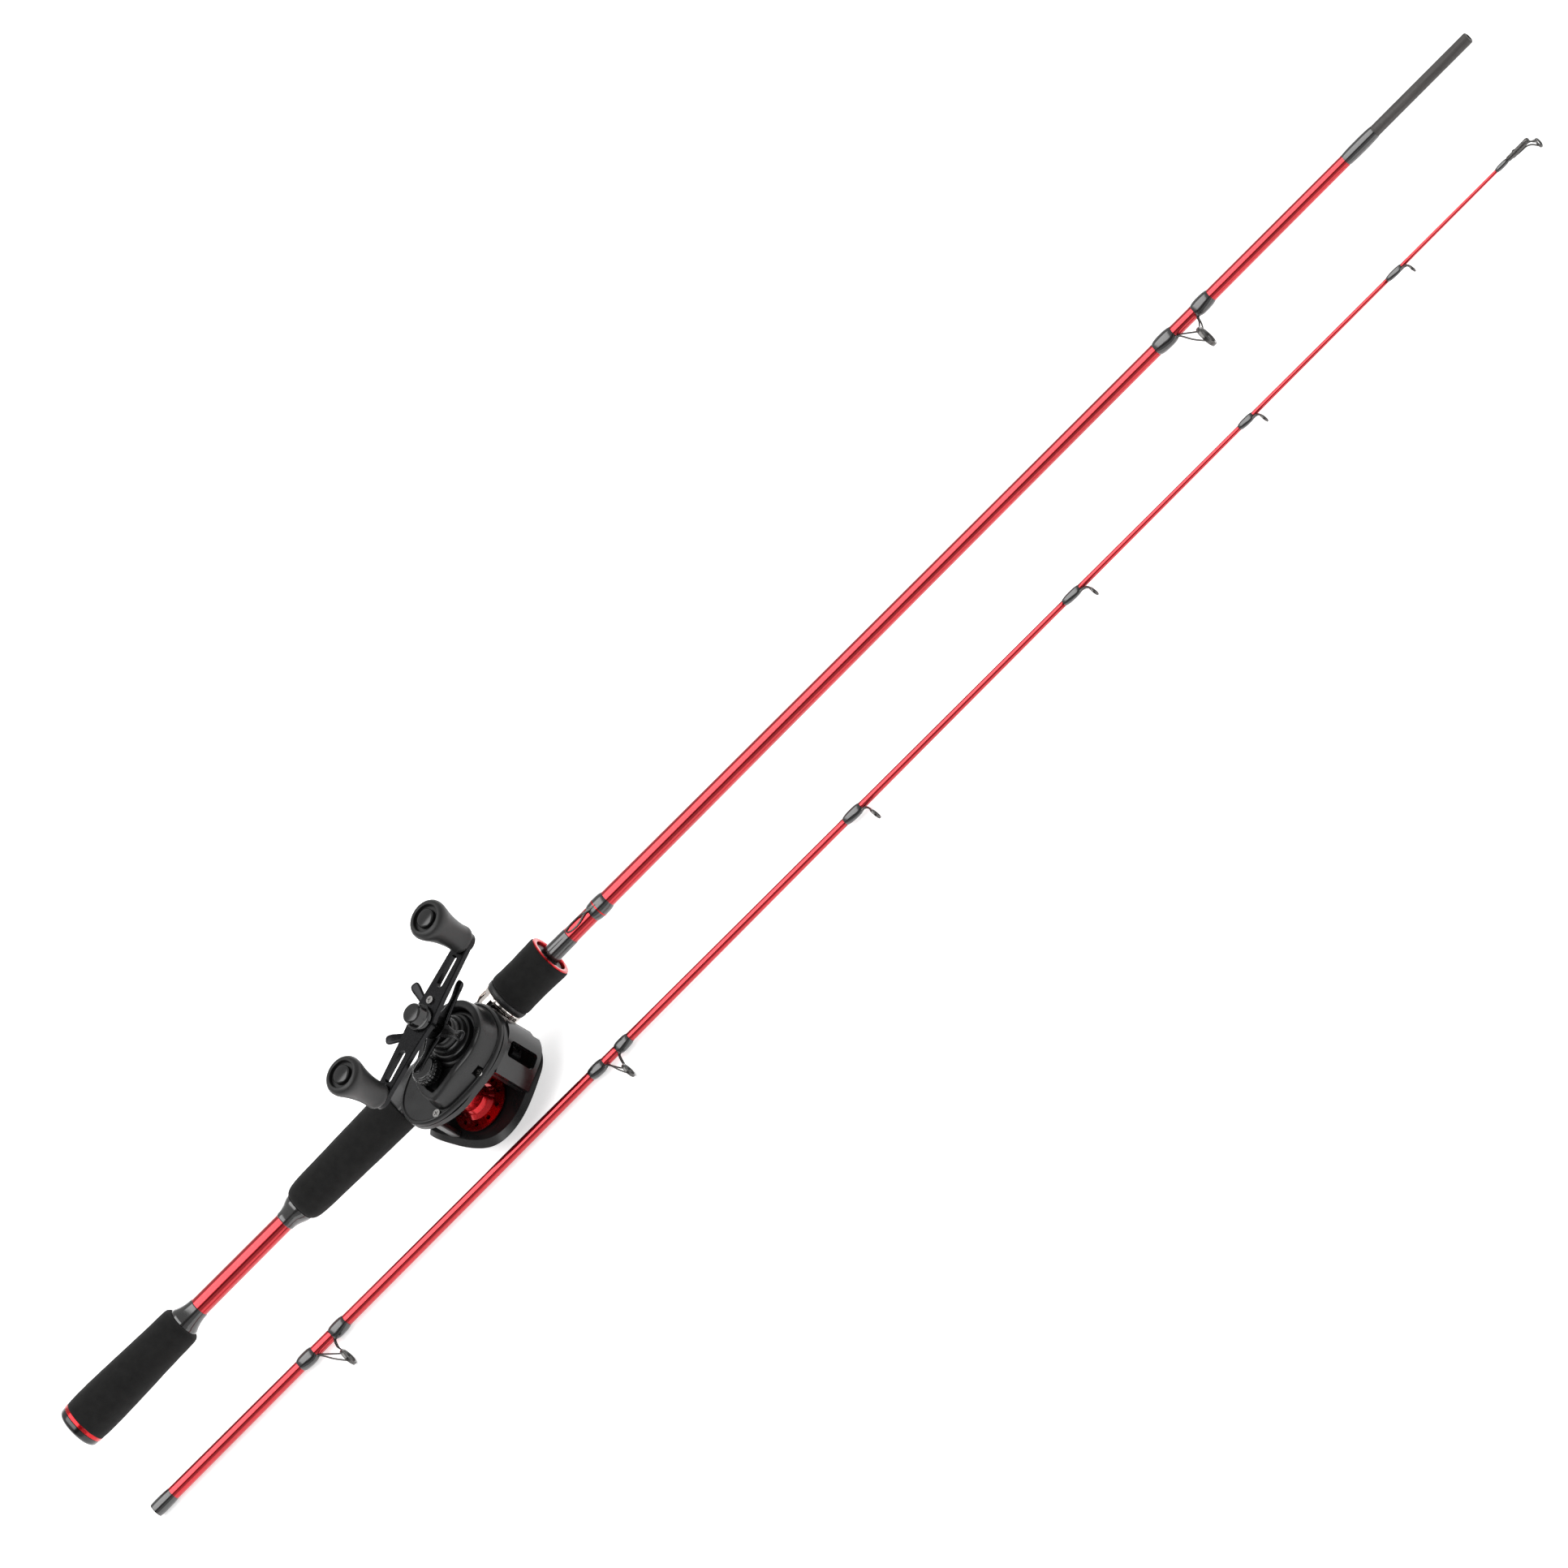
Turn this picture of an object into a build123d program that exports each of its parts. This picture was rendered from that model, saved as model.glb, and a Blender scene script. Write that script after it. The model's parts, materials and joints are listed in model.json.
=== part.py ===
from build123d import *

import math
import os

# Two-piece baitcasting rod with a low-profile, left-hand-retrieve reel, lying on the reel's palm side.
# Frame: +Y towards the rod's tip, +X from the rod to the top of the reel, +Z out of the handle side.
# The origin is where the spool's axis meets the flat outer face of the palm cover. All sizes in mm.

# --- Driving dimensions -----------------------------------------------------------------------
ROD_BELOW_SPOOL = 26.0      # rod axis under the spool axis, along X
ROD_HEIGHT = 34.0           # rod axis above the palm cover's flat face, along Z
BUTT_BEHIND_SPOOL = 275.0   # butt end behind the spool axis, along Y
TIP_OFFSET = 53.0           # from the butt section's axis to the loose tip section's axis, along X
TIP_HEIGHT = 5.4            # axis height of the tip section lying on the floor
TIP_START = 4.5             # rear end of the tip section, ahead of the butt end
BUTT_LENGTH = 1030.0
TIP_LENGTH = 1014.0
PAINT_END = 961.0           # where the butt blank's paint ends and the bare spigot begins
SPIGOT_R = 3.2
SOCKET_R = 3.25
SOCKET_DEPTH = 69.0
BLANK_WALL = 0.8

CRANK_X = -6.0              # drive shaft axis from the spool axis
CRANK_Y = 20.0
CRANK_THROW = 45.0
CRANK_TURN = 24.0           # handle rotation from +Y towards -X
ARM_SCREW = 10.5            # retaining screw from the crank axis, along the arm
MAIN_TEETH = 63
PINION_TEETH = 10
COG_TEETH = 28
WORM_TEETH = 14
WORM_X = -10.0              # level-wind worm axis
WORM_Y = 31.0

SPOOL_R = 16.0
PALM_TOP = 15.0             # palm cover meets the frame
PALM_EDGE_AT = 16.7         # widest level of the palm side
PALM_WALL_TOP = 19.4        # frame's palm-side wall
SPOOL_LOW = 20.6
SPOOL_HIGH = 45.4
HANDLE_WALL = 46.2          # frame's handle-side wall
HANDLE_WALL_TOP = 49.4
COVER_TOP = 53.2            # handle cover's outer face beside the gear case
CASE_TOP = 59.4
RIM_TOP = 64.6              # raised rim round the drag pocket
POCKET_FLOOR = 61.4
DOME_TOP = 72.0
STAR_LOW = 73.0
ARM_LOW = 84.6
ARM_HIGH = 87.8
KNOB_LOW = 88.2
KNOB_HIGH = 119.0

SCREWS_AT = [(15.4, 19.0), (14.6, -12.0), (-17.0, -9.0)]
SCREW_SEAT = 51.4
SCREW_HEAD_R = 2.2
GUIDE_BAR_AT = (-2.6, 36.2)
GUIDE_BAR_R = 1.1
WORM_R = 2.2
CRANK_AT = (CRANK_X, CRANK_Y)
WORM_AT = (WORM_X, WORM_Y)
DIAL_AT = (-13.0, 14.0)
DIAL_R = 9.0

SEAT_BACK = 242.05          # reel seat's ends, from the butt end
SEAT_FRONT = 352.0
THREAD_START = 316.0
THREAD_R = 9.2
SEAT_BORE_R = 5.5
DECK = 6.6                  # seat deck above the rod axis
FOOT_THICK = 2.0
FOOT_LENGTH = 67.0
FOOT_MIDDLE = 4.8           # ahead of the spool axis

FRAME_CUT = -17.4           # flat seat side of the frame, along X
NOTCH_DEPTH = -13.8         # end notches clear the seat's hoods, along X
NOTCH_FRONT = 33.6
NOTCH_REAR = -22.6

STAR_ARMS = 5
STAR_REACH = 27.5
STAR_TURN = 9.0             # first arm from +Y, towards -X

RUNNING = 0.06              # radial clearance of every running fit
SHAFT_R = 1.5
DRIVE_R = 2.5
FAR = 20.0                  # more than enough to cut past an edge

FLOOR = Plane.XY
BUTT = Plane(origin=(-ROD_BELOW_SPOOL, -BUTT_BEHIND_SPOOL, ROD_HEIGHT))
TIP = Plane(origin=(TIP_OFFSET - ROD_BELOW_SPOOL, TIP_START - BUTT_BEHIND_SPOOL, TIP_HEIGHT))
CRANK = Plane(origin=(CRANK_X, CRANK_Y, 0), x_dir=Vector(0, 1, 0).rotate(Axis.Z, CRANK_TURN))

# Blank radii: (distance from the section's rear end, radius)
BUTT_TAPER = [(6, 5.4), (92, 5.4), (155, 5.25), (395, 4.63), (535, 4.22), (688, 3.83), (850, 3.55), (961, 3.4)]
TIP_TAPER = [(0, 3.95), (14, 3.7), (102, 3.42), (255, 2.98), (408, 2.47), (569, 2.0), (781, 1.45), (1010, 0.95)]

parts_made = []


def keep(piece, label):
    """Names a finished piece and remembers it for export."""
    piece.part.label = label
    parts_made.append(piece.part)
    return piece.part


def radius_at(taper, y):
    """Blank radius at y, by straight lines between the taper's points."""
    for (y0, r0), (y1, r1) in zip(taper, taper[1:]):
        if y <= y1:
            return r0 + (r1 - r0) * max(0.0, y - y0) / (y1 - y0)
    return taper[-1][1]


def turned(section, outline):
    """Solid of revolution about a rod section's axis; outline is a list of (y, radius)."""
    with BuildPart() as piece:
        with BuildSketch(section):
            with BuildLine():
                Polyline([(r, y) for y, r in outline], close=True)
            make_face()
        revolve(axis=Axis(section.origin, section.y_dir))
    return piece


def turned_up(x, y, outline):
    """Solid of revolution about a line parallel to Z at (x, y); outline is a list of (z, radius)."""
    with BuildPart() as piece:
        with BuildSketch(Plane(origin=(x, y, 0), x_dir=(1, 0, 0), z_dir=(0, -1, 0))):
            with BuildLine():
                Polyline([(r, z) for z, r in outline], close=True)
            make_face()
        revolve(axis=Axis((x, y, 0), (0, 0, 1)))
    return piece


def sleeve(section, taper, y0, y1, bulge, gap=0.02):
    """Thread wrap on a blank between y0 and y1: a bore that follows the blank and a crowned outside."""
    r0, r1 = radius_at(taper, y0), radius_at(taper, y1)
    middle = (y0 + y1) / 2
    inner = [(y1, r1 + gap), (y0, r0 + gap)]
    edge = 0.18
    outer = [
        (y0, r0 + edge),
        (y0 + 0.18 * (y1 - y0), r0 + 0.8 * bulge),
        (middle, radius_at(taper, middle) + bulge),
        (y1 - 0.18 * (y1 - y0), r1 + 0.8 * bulge),
        (y1, r1 + edge),
    ]
    return turned(section, inner + outer)


def wire(points, radius, corner):
    """Round wire through points, with every corner rounded to the same radius."""
    with BuildPart() as piece:
        with BuildLine() as path:
            if len(points) > 2:
                FilletPolyline(*points, radius=corner)
            else:
                Line(*points)
        start = path.line @ 0
        with BuildSketch(Plane(origin=start, z_dir=path.line % 0)):
            Circle(radius)
        sweep(path=path.line)
    return piece


# --- Rod: butt section ------------------------------------------------------------------------
def blank(section, taper, label, bore_steps):
    """Tapered tube; bore_steps lists (y, bore radius) from the front end back to the rear end."""
    return keep(turned(section, taper + bore_steps), label)


def butt_section():
    """Everything on the butt section that doesn't belong to the reel or its seat."""
    wall = [(y, r - BLANK_WALL) for y, r in reversed(BUTT_TAPER)]
    blank(BUTT, BUTT_TAPER, "butt_blank", wall)
    glued_r = radius_at(BUTT_TAPER, PAINT_END) - BLANK_WALL - 0.15
    keep(turned(BUTT, [
        (905, 1.6), (905, glued_r), (PAINT_END, glued_r), (PAINT_END, SPIGOT_R),
        (BUTT_LENGTH - 0.6, SPIGOT_R), (BUTT_LENGTH, SPIGOT_R - 0.6), (BUTT_LENGTH, 1.6),
    ]), "ferrule_spigot")
    keep(turned(BUTT, [
        (0, 0), (0, 10.4), (0.6, 11.6), (1.8, 12.3), (4.7, 12.3), (4.7, 10.5), (9.5, 10.5), (9.5, 5.5),
        (5.9, 5.5), (5.9, 0),
    ]), "butt_cap")
    keep(turned(BUTT, [(4.8, 10.6), (4.8, 12.6), (7.0, 12.6), (7.0, 10.6)]), "butt_trim_ring")
    keep(turned(BUTT, [
        (9.6, 5.42), (9.6, 10.6), (7.1, 10.6), (7.1, 12.5), (14, 12.75), (30, 12.5), (55, 11.6), (77, 11.1),
        (79, 10.6), (80, 9.6), (80, 5.42),
    ]), "rear_grip")
    keep(turned(BUTT, [
        (80.05, 5.42), (80.05, 8.2), (81.5, 8.3), (84, 7.2), (90, 5.9), (92, 5.7), (92, 5.42),
    ]), "rear_cone")
    keep(turned(BUTT, [
        (155.5, 5.3), (155.5, 5.55), (158, 5.8), (163, 7.4), (165.5, 8.2), (166.95, 8.2), (166.95, 5.3),
    ]), "mid_cone")
    keep(turned(BUTT, [
        (167, 5.3), (167, 8.8), (171, 10.4), (178, 11.1), (195, 11.5), (212, 12.0), (225, 12.3), (240, 12.5),
        (242, 12.3), (242, 5.3),
    ]), "mid_grip")


def butt_fittings():
    """Thread wraps and the hook keeper of the butt section."""
    pieces = [
        turned(BUTT, [(354, 4.82), (354, 5.0), (355, 5.15), (367, 5.0), (368, 4.85), (368, 4.8)]),
        sleeve(BUTT, BUTT_TAPER, 384, 395.5, 0.8),
        sleeve(BUTT, BUTT_TAPER, 800.7, 813.7, 0.9),
        sleeve(BUTT, BUTT_TAPER, 829.0, 840.7, 0.8),
        sleeve(BUTT, BUTT_TAPER, 940.0, 961.0, 0.42),
    ]
    with BuildPart() as wraps:
        for piece in pieces:
            add(piece.part)
    keep(wraps, "butt_wraps")

    # The keeper is a wire eye lying along the handle side of the blank, its ends under the wrap.
    lie = radius_at(BUTT_TAPER, 376) + 0.55
    half_eye = [(0.55, 390), (0.55, 384), (2.1, 377.5), (2.1, 369.3)]
    eye = half_eye + [(-x, y) for x, y in reversed(half_eye)]
    points = [BUTT.from_local_coords(Vector(x, y, lie)) for x, y in eye]
    keep(wire(points, 0.45, 1.6), "hook_keeper")


# --- Line guides ------------------------------------------------------------------------------
def guide(section, taper, ring_y, height, ring_r, rear_foot, front_foot=None, wire_r=0.5, lean=6.0):
    """Guide frame and its ceramic insert. Feet are (start, end) along the blank; height is the ring centre's."""
    up, along, side = section.x_dir, section.y_dir, section.z_dir
    axis_dir = (along * math.cos(math.radians(lean)) + up * math.sin(math.radians(lean))).normalized()
    centre = section.from_local_coords(Vector(height, ring_y, 0))
    ring_up = side.cross(axis_dir).normalized() * -1
    band = 0.12 * ring_r
    width = 0.17 * ring_r

    def at(x, y, z):
        return section.from_local_coords(Vector(x, y, z))

    def on_ring(angle, radius):
        return centre + ring_up * (radius * math.cos(angle)) + side * (radius * math.sin(angle))

    feet = [rear_foot] + ([front_foot] if front_foot else [])
    rear_lift = radius_at(taper, rear_foot[1]) + 0.45
    hub = at(rear_lift, rear_foot[1] + 0.6, 0)
    grab = ring_r - band / 2
    legs = [(hub, on_ring(sign * math.radians(100), grab)) for sign in (-1, 1)]
    if front_foot:
        front_lift = radius_at(taper, front_foot[0]) + 0.45
        legs.append((at(front_lift, front_foot[0] - 0.6, 0), on_ring(math.pi, grab)))
    else:
        knee = at(max(rear_lift + 2.0, height - ring_r - 0.2), rear_foot[1] + 2.6, 0)
        legs = [(hub, knee), (knee, on_ring(math.pi, grab)), (knee, on_ring(math.radians(135), grab))]
        legs.append((knee, on_ring(-math.radians(135), grab)))

    solids = [wire(leg, wire_r, 0).part for leg in legs]
    for start, end in feet:
        lift = radius_at(taper, (start + end) / 2)
        reach = (start, end + 0.8) if (start, end) == rear_foot else (start - 0.8, end)
        foot_plane = Plane(origin=at(lift + 0.42, sum(reach) / 2, 0), x_dir=along, z_dir=up)
        with BuildPart() as foot:
            with BuildSketch(foot_plane):
                SlotOverall(reach[1] - reach[0], 1.7)
            extrude(amount=0.3, both=True)
        solids.append(foot.part)

    ring_plane = Plane(origin=centre, x_dir=ring_up, z_dir=axis_dir)
    with BuildPart() as frame:
        with BuildSketch(ring_plane):
            Circle(ring_r)
            Circle(ring_r - band, mode=Mode.SUBTRACT)
        extrude(amount=width, both=True)
        fillet(frame.faces().sort_by(Axis(centre, axis_dir))[-1].outer_wire().edges(), 0.25 * band)
        fillet(frame.faces().sort_by(Axis(centre, axis_dir))[0].outer_wire().edges(), 0.25 * band)
        for solid in solids:
            add(solid)
        with BuildSketch(ring_plane):
            Circle(ring_r - band)
        extrude(amount=2 * ring_r, both=True, mode=Mode.SUBTRACT)

    insert_wall = 0.14 * ring_r
    with BuildPart() as insert:
        with BuildSketch(ring_plane):
            Circle(ring_r - band)
            Circle(ring_r - band - insert_wall, mode=Mode.SUBTRACT)
        extrude(amount=1.15 * width, both=True)
        fillet(insert.edges().filter_by(GeomType.CIRCLE).sort_by(SortBy.RADIUS)[:2], 0.45 * insert_wall)
    return frame, insert


def tip_top(inserts):
    """Tube over the blank's end with a ring carried on side wires."""
    start, end = 999.0, TIP_LENGTH
    height, ring_y, ring_r, band = 7.0, 1017.5, 2.85, 0.6
    axis_dir = (TIP.y_dir * math.cos(math.radians(8)) + TIP.x_dir * math.sin(math.radians(8))).normalized()
    centre = TIP.from_local_coords(Vector(height, ring_y, 0))
    ring_up = TIP.z_dir.cross(axis_dir).normalized() * -1
    ring_plane = Plane(origin=centre, x_dir=ring_up, z_dir=axis_dir)
    with BuildPart() as frame:
        add(turned(TIP, [
            (start, 1.0), (start, 1.45), (end - 0.6, 1.55), (end, 1.2), (end, 0), (1010.5, 0), (1010.5, 1.0),
        ]).part)
        for side in (-1, 1):
            foot = TIP.from_local_coords(Vector(0.4, start + 3, side * 1.3))
            shoulder = TIP.from_local_coords(Vector(1.0, end - 3, side * 1.6))
            ring_side = centre + TIP.z_dir * (side * (ring_r - 0.3))
            add(wire((foot, shoulder), 0.42, 0).part)
            add(wire((shoulder, ring_side), 0.42, 0).part)
        brace = TIP.from_local_coords(Vector(0.9, end - 1, 0))
        add(wire((brace, centre - ring_up * (ring_r - 0.3)), 0.42, 0).part)
        with BuildSketch(ring_plane):
            Circle(ring_r)
        extrude(amount=0.5, both=True)
        with BuildSketch(ring_plane):
            Circle(ring_r - band)
        extrude(amount=2.2, both=True, mode=Mode.SUBTRACT)
    keep(frame, "tip_top")
    with BuildPart() as insert:
        with BuildSketch(ring_plane):
            Circle(ring_r - band)
            Circle(ring_r - band - 0.45, mode=Mode.SUBTRACT)
        extrude(amount=0.6, both=True)
    inserts.append(insert.part)


def line_guides():
    """Guide 1 on the butt section, guides 2 to 7 and the tip-top on the tip section."""
    frame, insert = guide(BUTT, BUTT_TAPER, 827.0, 18.6, 6.4, (802.5, 813.7), (829.0, 839.0), wire_r=0.6)
    keep(frame, "guide_1")
    keep(insert, "guide_1_ring")

    double = [
        (2, 132.5, 19.5, 5.25, (109.5, 118.6), (131.4, 140.2), 0.5),
        (3, 342.2, 16.2, 4.4, (325.0, 333.5), (342.8, 350.5), 0.5),
    ]
    single = [
        (4, 527.7, 11.2, 3.45, (513.0, 523.4), 0.55),
        (5, 690.0, 9.0, 3.0, (674.5, 684.7), 0.5),
        (6, 816.0, 7.4, 2.75, (803.0, 812.0), 0.45),
        (7, 925.0, 6.4, 2.5, (911.5, 921.0), 0.42),
    ]
    inserts = []
    for number, ring_y, height, ring_r, rear, front, wire_r in double:
        frame, insert = guide(TIP, TIP_TAPER, ring_y, height, ring_r, rear, front, wire_r)
        keep(frame, f"guide_{number}")
        inserts.append(insert.part)
    for number, ring_y, height, ring_r, foot, wire_r in single:
        frame, insert = guide(TIP, TIP_TAPER, ring_y, height, ring_r, foot, None, wire_r, lean=12)
        keep(frame, f"guide_{number}")
        inserts.append(insert.part)
    tip_top(inserts)
    with BuildPart() as rings:
        for ring in inserts:
            add(ring)
    keep(rings, "tip_guide_rings")


def tip_section():
    """Tapered tip blank with its ferrule socket, and its thread wraps."""
    bore = [(1010, 0.45), (300, 1.9), (SOCKET_DEPTH + 4, 2.6), (SOCKET_DEPTH, SOCKET_R), (0, SOCKET_R)]
    blank(TIP, TIP_TAPER, "tip_blank", bore)
    spans = [
        (0.3, 13.0, 0.32), (107.8, 118.6, 0.85), (131.4, 141.9, 0.8), (323.4, 333.5, 0.8), (342.8, 352.2, 0.75),
        (511.6, 523.4, 0.8), (673.0, 684.7, 0.7), (802.0, 812.0, 0.65), (910.5, 921.0, 0.6),
    ]
    with BuildPart() as wraps:
        for start, end, bulge in spans:
            add(sleeve(TIP, TIP_TAPER, start, end, bulge).part)
        add(turned(TIP, [(991, 1.02), (991, 1.2), (993, 1.45), (998.9, 1.6), (998.9, 1.02)]).part)
    keep(wraps, "tip_wraps")


# --- Reel seat and fore grip ------------------------------------------------------------------
def reel_seat():
    """Plastic seat: a tube with a flat deck, a fixed rear hood, a threaded nose and a finger trigger."""
    with BuildPart() as seat:
        add(turned(BUTT, [
            (SEAT_BACK, SEAT_BORE_R), (SEAT_BACK, 12.3), (246, 12.6), (252, 12.2), (262, 10.6), (300, 10.2),
            (311, 10.4), (THREAD_START, THREAD_R), (350, THREAD_R), (SEAT_FRONT, 8.4), (SEAT_FRONT, SEAT_BORE_R),
        ]).part)
        # flat deck for the reel foot, open to the front, with its rear end under the hood
        with BuildSketch(BUTT):
            with Locations((DECK + 10, 286.5)):
                Rectangle(20, 73)
        extrude(amount=30, both=True, mode=Mode.SUBTRACT)
        # finger trigger on the underside
        with BuildSketch(BUTT):
            with BuildLine():
                Spline((-9, 262), (-12.5, 268), (-19, 271.5), (-26, 274.5), tangents=((-1, 0.6), (-1, 0.3)))
                Line((-26, 274.5), (-26.6, 278.5))
                Spline((-26.6, 278.5), (-18, 277.5), (-12, 279), (-9, 284), tangents=((1, -0.3), (0.6, 1)))
                Line((-9, 284), (-9, 262))
            make_face()
        extrude(amount=4.2, both=True)
        fillet(seat.edges().filter_by(lambda e: e.center().X < BUTT.origin.X - 12 and e.length > 6), 1.4)
        # blank bore
        with BuildSketch(Plane(origin=BUTT.origin, x_dir=(1, 0, 0), z_dir=(0, 1, 0)).offset(240)):
            Circle(SEAT_BORE_R)
        extrude(amount=120, mode=Mode.SUBTRACT)
    # rear hood over the foot's tongue
    with BuildPart() as hood:
        add(seat.part)
        hood_plane = Plane(origin=BUTT.origin, x_dir=(1, 0, 0), z_dir=(0, 1, 0)).offset(243)
        with BuildSketch(hood_plane):
            with Locations((DECK + FOOT_THICK / 2 + 0.8, 0)):
                RectangleRounded(FOOT_THICK + 4.4, 19, 1.8)
        extrude(amount=9)
        with BuildSketch(hood_plane.offset(3)):
            with Locations((DECK + FOOT_THICK / 2 + 0.02, 0)):
                Rectangle(FOOT_THICK + 0.1, 13)
        extrude(amount=8, mode=Mode.SUBTRACT)
        with BuildSketch(hood_plane.offset(-3)):
            Circle(SEAT_BORE_R)
        extrude(amount=20, mode=Mode.SUBTRACT)
    keep(hood, "reel_seat")


def nut_and_fore_grip():
    """Chrome moving hood, locking nut, foam fore grip and its trim ring, all round the seat's threaded nose."""
    across = Plane(origin=BUTT.origin, x_dir=(1, 0, 0), z_dir=(0, 1, 0))
    with BuildPart() as hood:
        with BuildSketch(across.offset(THREAD_START + 0.6)):
            Circle(12.0)
        extrude(amount=2.6)
        # tongue pocket reaching back over the reel foot
        with BuildSketch(across.offset(309.4)):
            with Locations((DECK + FOOT_THICK + 1.55, 0)):
                RectangleRounded(2.6, 17, 1.0)
        extrude(amount=8.4)
        fillet(hood.edges().filter_by(GeomType.CIRCLE).sort_by(SortBy.RADIUS)[-2:], 0.5)
        with BuildSketch(across.offset(300)):
            Circle(THREAD_R + RUNNING)
        extrude(amount=30, mode=Mode.SUBTRACT)
    keep(hood, "moving_hood")

    keep(turned(BUTT, [
        (319.4, THREAD_R + RUNNING), (319.4, 12.0), (321.2, 12.35), (322.4, 12.35), (322.4, 10.4), (345, 10.4),
        (345, THREAD_R + RUNNING),
    ]), "locking_nut")
    keep(turned(BUTT, [
        (322.5, 10.42), (322.5, 11.9), (323.5, 12.55), (337, 12.35), (351.5, 12.85), (352.6, 12.75),
        (352.6, 11.2), (345.1, 11.2), (345.1, 10.42),
    ]), "fore_grip")
    keep(turned(BUTT, [
        (345.2, 9.5), (345.2, 11.15), (352.65, 11.15), (352.65, 12.3), (353.5, 12.1), (353.5, 9.5),
    ]), "fore_trim_ring")


# --- Reel outlines ----------------------------------------------------------------------------
# The palm side flares from its flat face to a rim, and the rim is bevelled back to the frame's inner wall.
# All four outlines have matching points, so each pair spans one ruled side.
PALM_FLAT = [
    (-6, 28.5), (3.1, 16), (9, 2.6), (8.3, -11), (-1.4, -22.6), (-12, -29), (-21, -24), (-24.5, 0), (-22, 24),
    (-15, 33.5),
]
PALM_JOINT = [
    (9.5, 34.4), (18.8, 21.7), (24.6, 8.2), (23.9, -5.6), (14.4, -17), (-1, -27), (-17, -32.5), (-25, -6),
    (-23, 26), (-11, 40),
]
PALM_EDGE = [
    (11.2, 35), (20.4, 22.3), (26.3, 8.5), (25.6, -5.5), (15.8, -17.3), (0, -27.7), (-17.7, -34), (-26, -6),
    (-24, 27), (-10, 41),
]
PALM_WALL = [
    (9.0, 32.3), (18.1, 20.7), (23.5, 8.3), (22.4, -3.6), (14.2, -14.2), (0, -24.2), (-16.2, -31), (-24, -6),
    (-22.5, 26), (-10, 39),
]
HANDLE_OUTLINE = [
    (20, 6), (17.5, -14), (7, -26.5), (-8, -27), (-20, -15), (-27, 4), (-28.2, 22), (-22.5, 37), (-9, 43),
    (5.5, 40.5), (16, 27),
]


def closed_spline(points):
    """Closed smooth outline through points."""
    with BuildLine() as outline:
        Spline(*points, periodic=True)
    return outline.line


def case_hull(crank_r, spool_r):
    """Outline round both the drive shaft and the spool shaft."""
    with Locations(CRANK_AT):
        Circle(crank_r)
    with Locations((0, 0)):
        Circle(spool_r)
    make_hull()


def ruled_wall(lower, upper):
    """Adds straight sides between two matching outlines, each given as (z, points)."""
    faces = []
    for z, points in (lower, upper):
        with BuildSketch(FLOOR.offset(z)) as level:
            make_face(closed_spline(points))
        faces.append(level.sketch)
    loft(faces, ruled=True)


def reel_frame():
    """One-piece frame: two side walls joined by front, middle, rear and bottom bars."""
    with BuildPart() as frame:
        ruled_wall((PALM_TOP + 0.1, PALM_JOINT), (PALM_EDGE_AT, PALM_EDGE))
        ruled_wall((PALM_EDGE_AT, PALM_EDGE), (PALM_WALL_TOP, PALM_WALL))
        with BuildSketch(FLOOR.offset(HANDLE_WALL)):
            make_face(closed_spline(HANDLE_OUTLINE))
        extrude(amount=HANDLE_WALL_TOP - HANDLE_WALL)
        # the seat side is cut flat, clear of the rod
        with BuildSketch(FLOOR.offset(PALM_TOP)):
            with Locations((FRAME_CUT - FAR / 2, 0)):
                Rectangle(FAR, 120)
        extrude(amount=HANDLE_WALL_TOP, mode=Mode.SUBTRACT)
        # cross bars, from wall to wall
        with BuildSketch(FLOOR.offset(PALM_WALL_TOP - 0.5)):
            with BuildLine():
                Polyline((7.5, 27.5), (13.5, 20.5), (15.5, 22.5), (10.5, 28.8), close=True)
            make_face()
            with BuildLine():
                Polyline((-4, 40.2), (2.5, 37.2), (3.8, 39), (-3.4, 42.4), (-12.5, 42), (-12.2, 39.6), close=True)
            make_face()
            with BuildLine():
                Polyline((FRAME_CUT, -26), (-12.5, -26), (-11.5, -22.5), (-12.5, -19.5), (FRAME_CUT, -17.5),
                         close=True)
            make_face()
            with Locations((-16, 28)):
                Rectangle(2.8, 10)
        extrude(amount=HANDLE_WALL - PALM_WALL_TOP + 1)
        # notches at both ends, clear of the seat's hoods
        with BuildSketch(FLOOR.offset(PALM_TOP)):
            for y in (NOTCH_FRONT + FAR / 2, NOTCH_REAR - FAR / 2):
                with Locations((NOTCH_DEPTH - FAR / 2, y)):
                    Rectangle(FAR, FAR)
        extrude(amount=HANDLE_WALL_TOP, mode=Mode.SUBTRACT)
        # wide spool opening through the palm wall, shaft and bearing holes through the handle wall
        with BuildSketch(FLOOR.offset(PALM_TOP - 1)):
            Circle(SPOOL_R - 1.2)
        extrude(amount=PALM_WALL_TOP - PALM_TOP + 2, mode=Mode.SUBTRACT)
        with BuildSketch(FLOOR.offset(HANDLE_WALL - 1)):
            Circle(4.0)
            with Locations(CRANK_AT):
                Circle(4.5)
            with Locations(WORM_AT):
                Circle(WORM_R + RUNNING)
        extrude(amount=6, mode=Mode.SUBTRACT)
        with BuildSketch(FLOOR.offset(PALM_WALL_TOP - 2.5)):
            with Locations(WORM_AT):
                Circle(WORM_R + RUNNING)
        extrude(amount=4, mode=Mode.SUBTRACT)
    keep(frame, "reel_frame")


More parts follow.
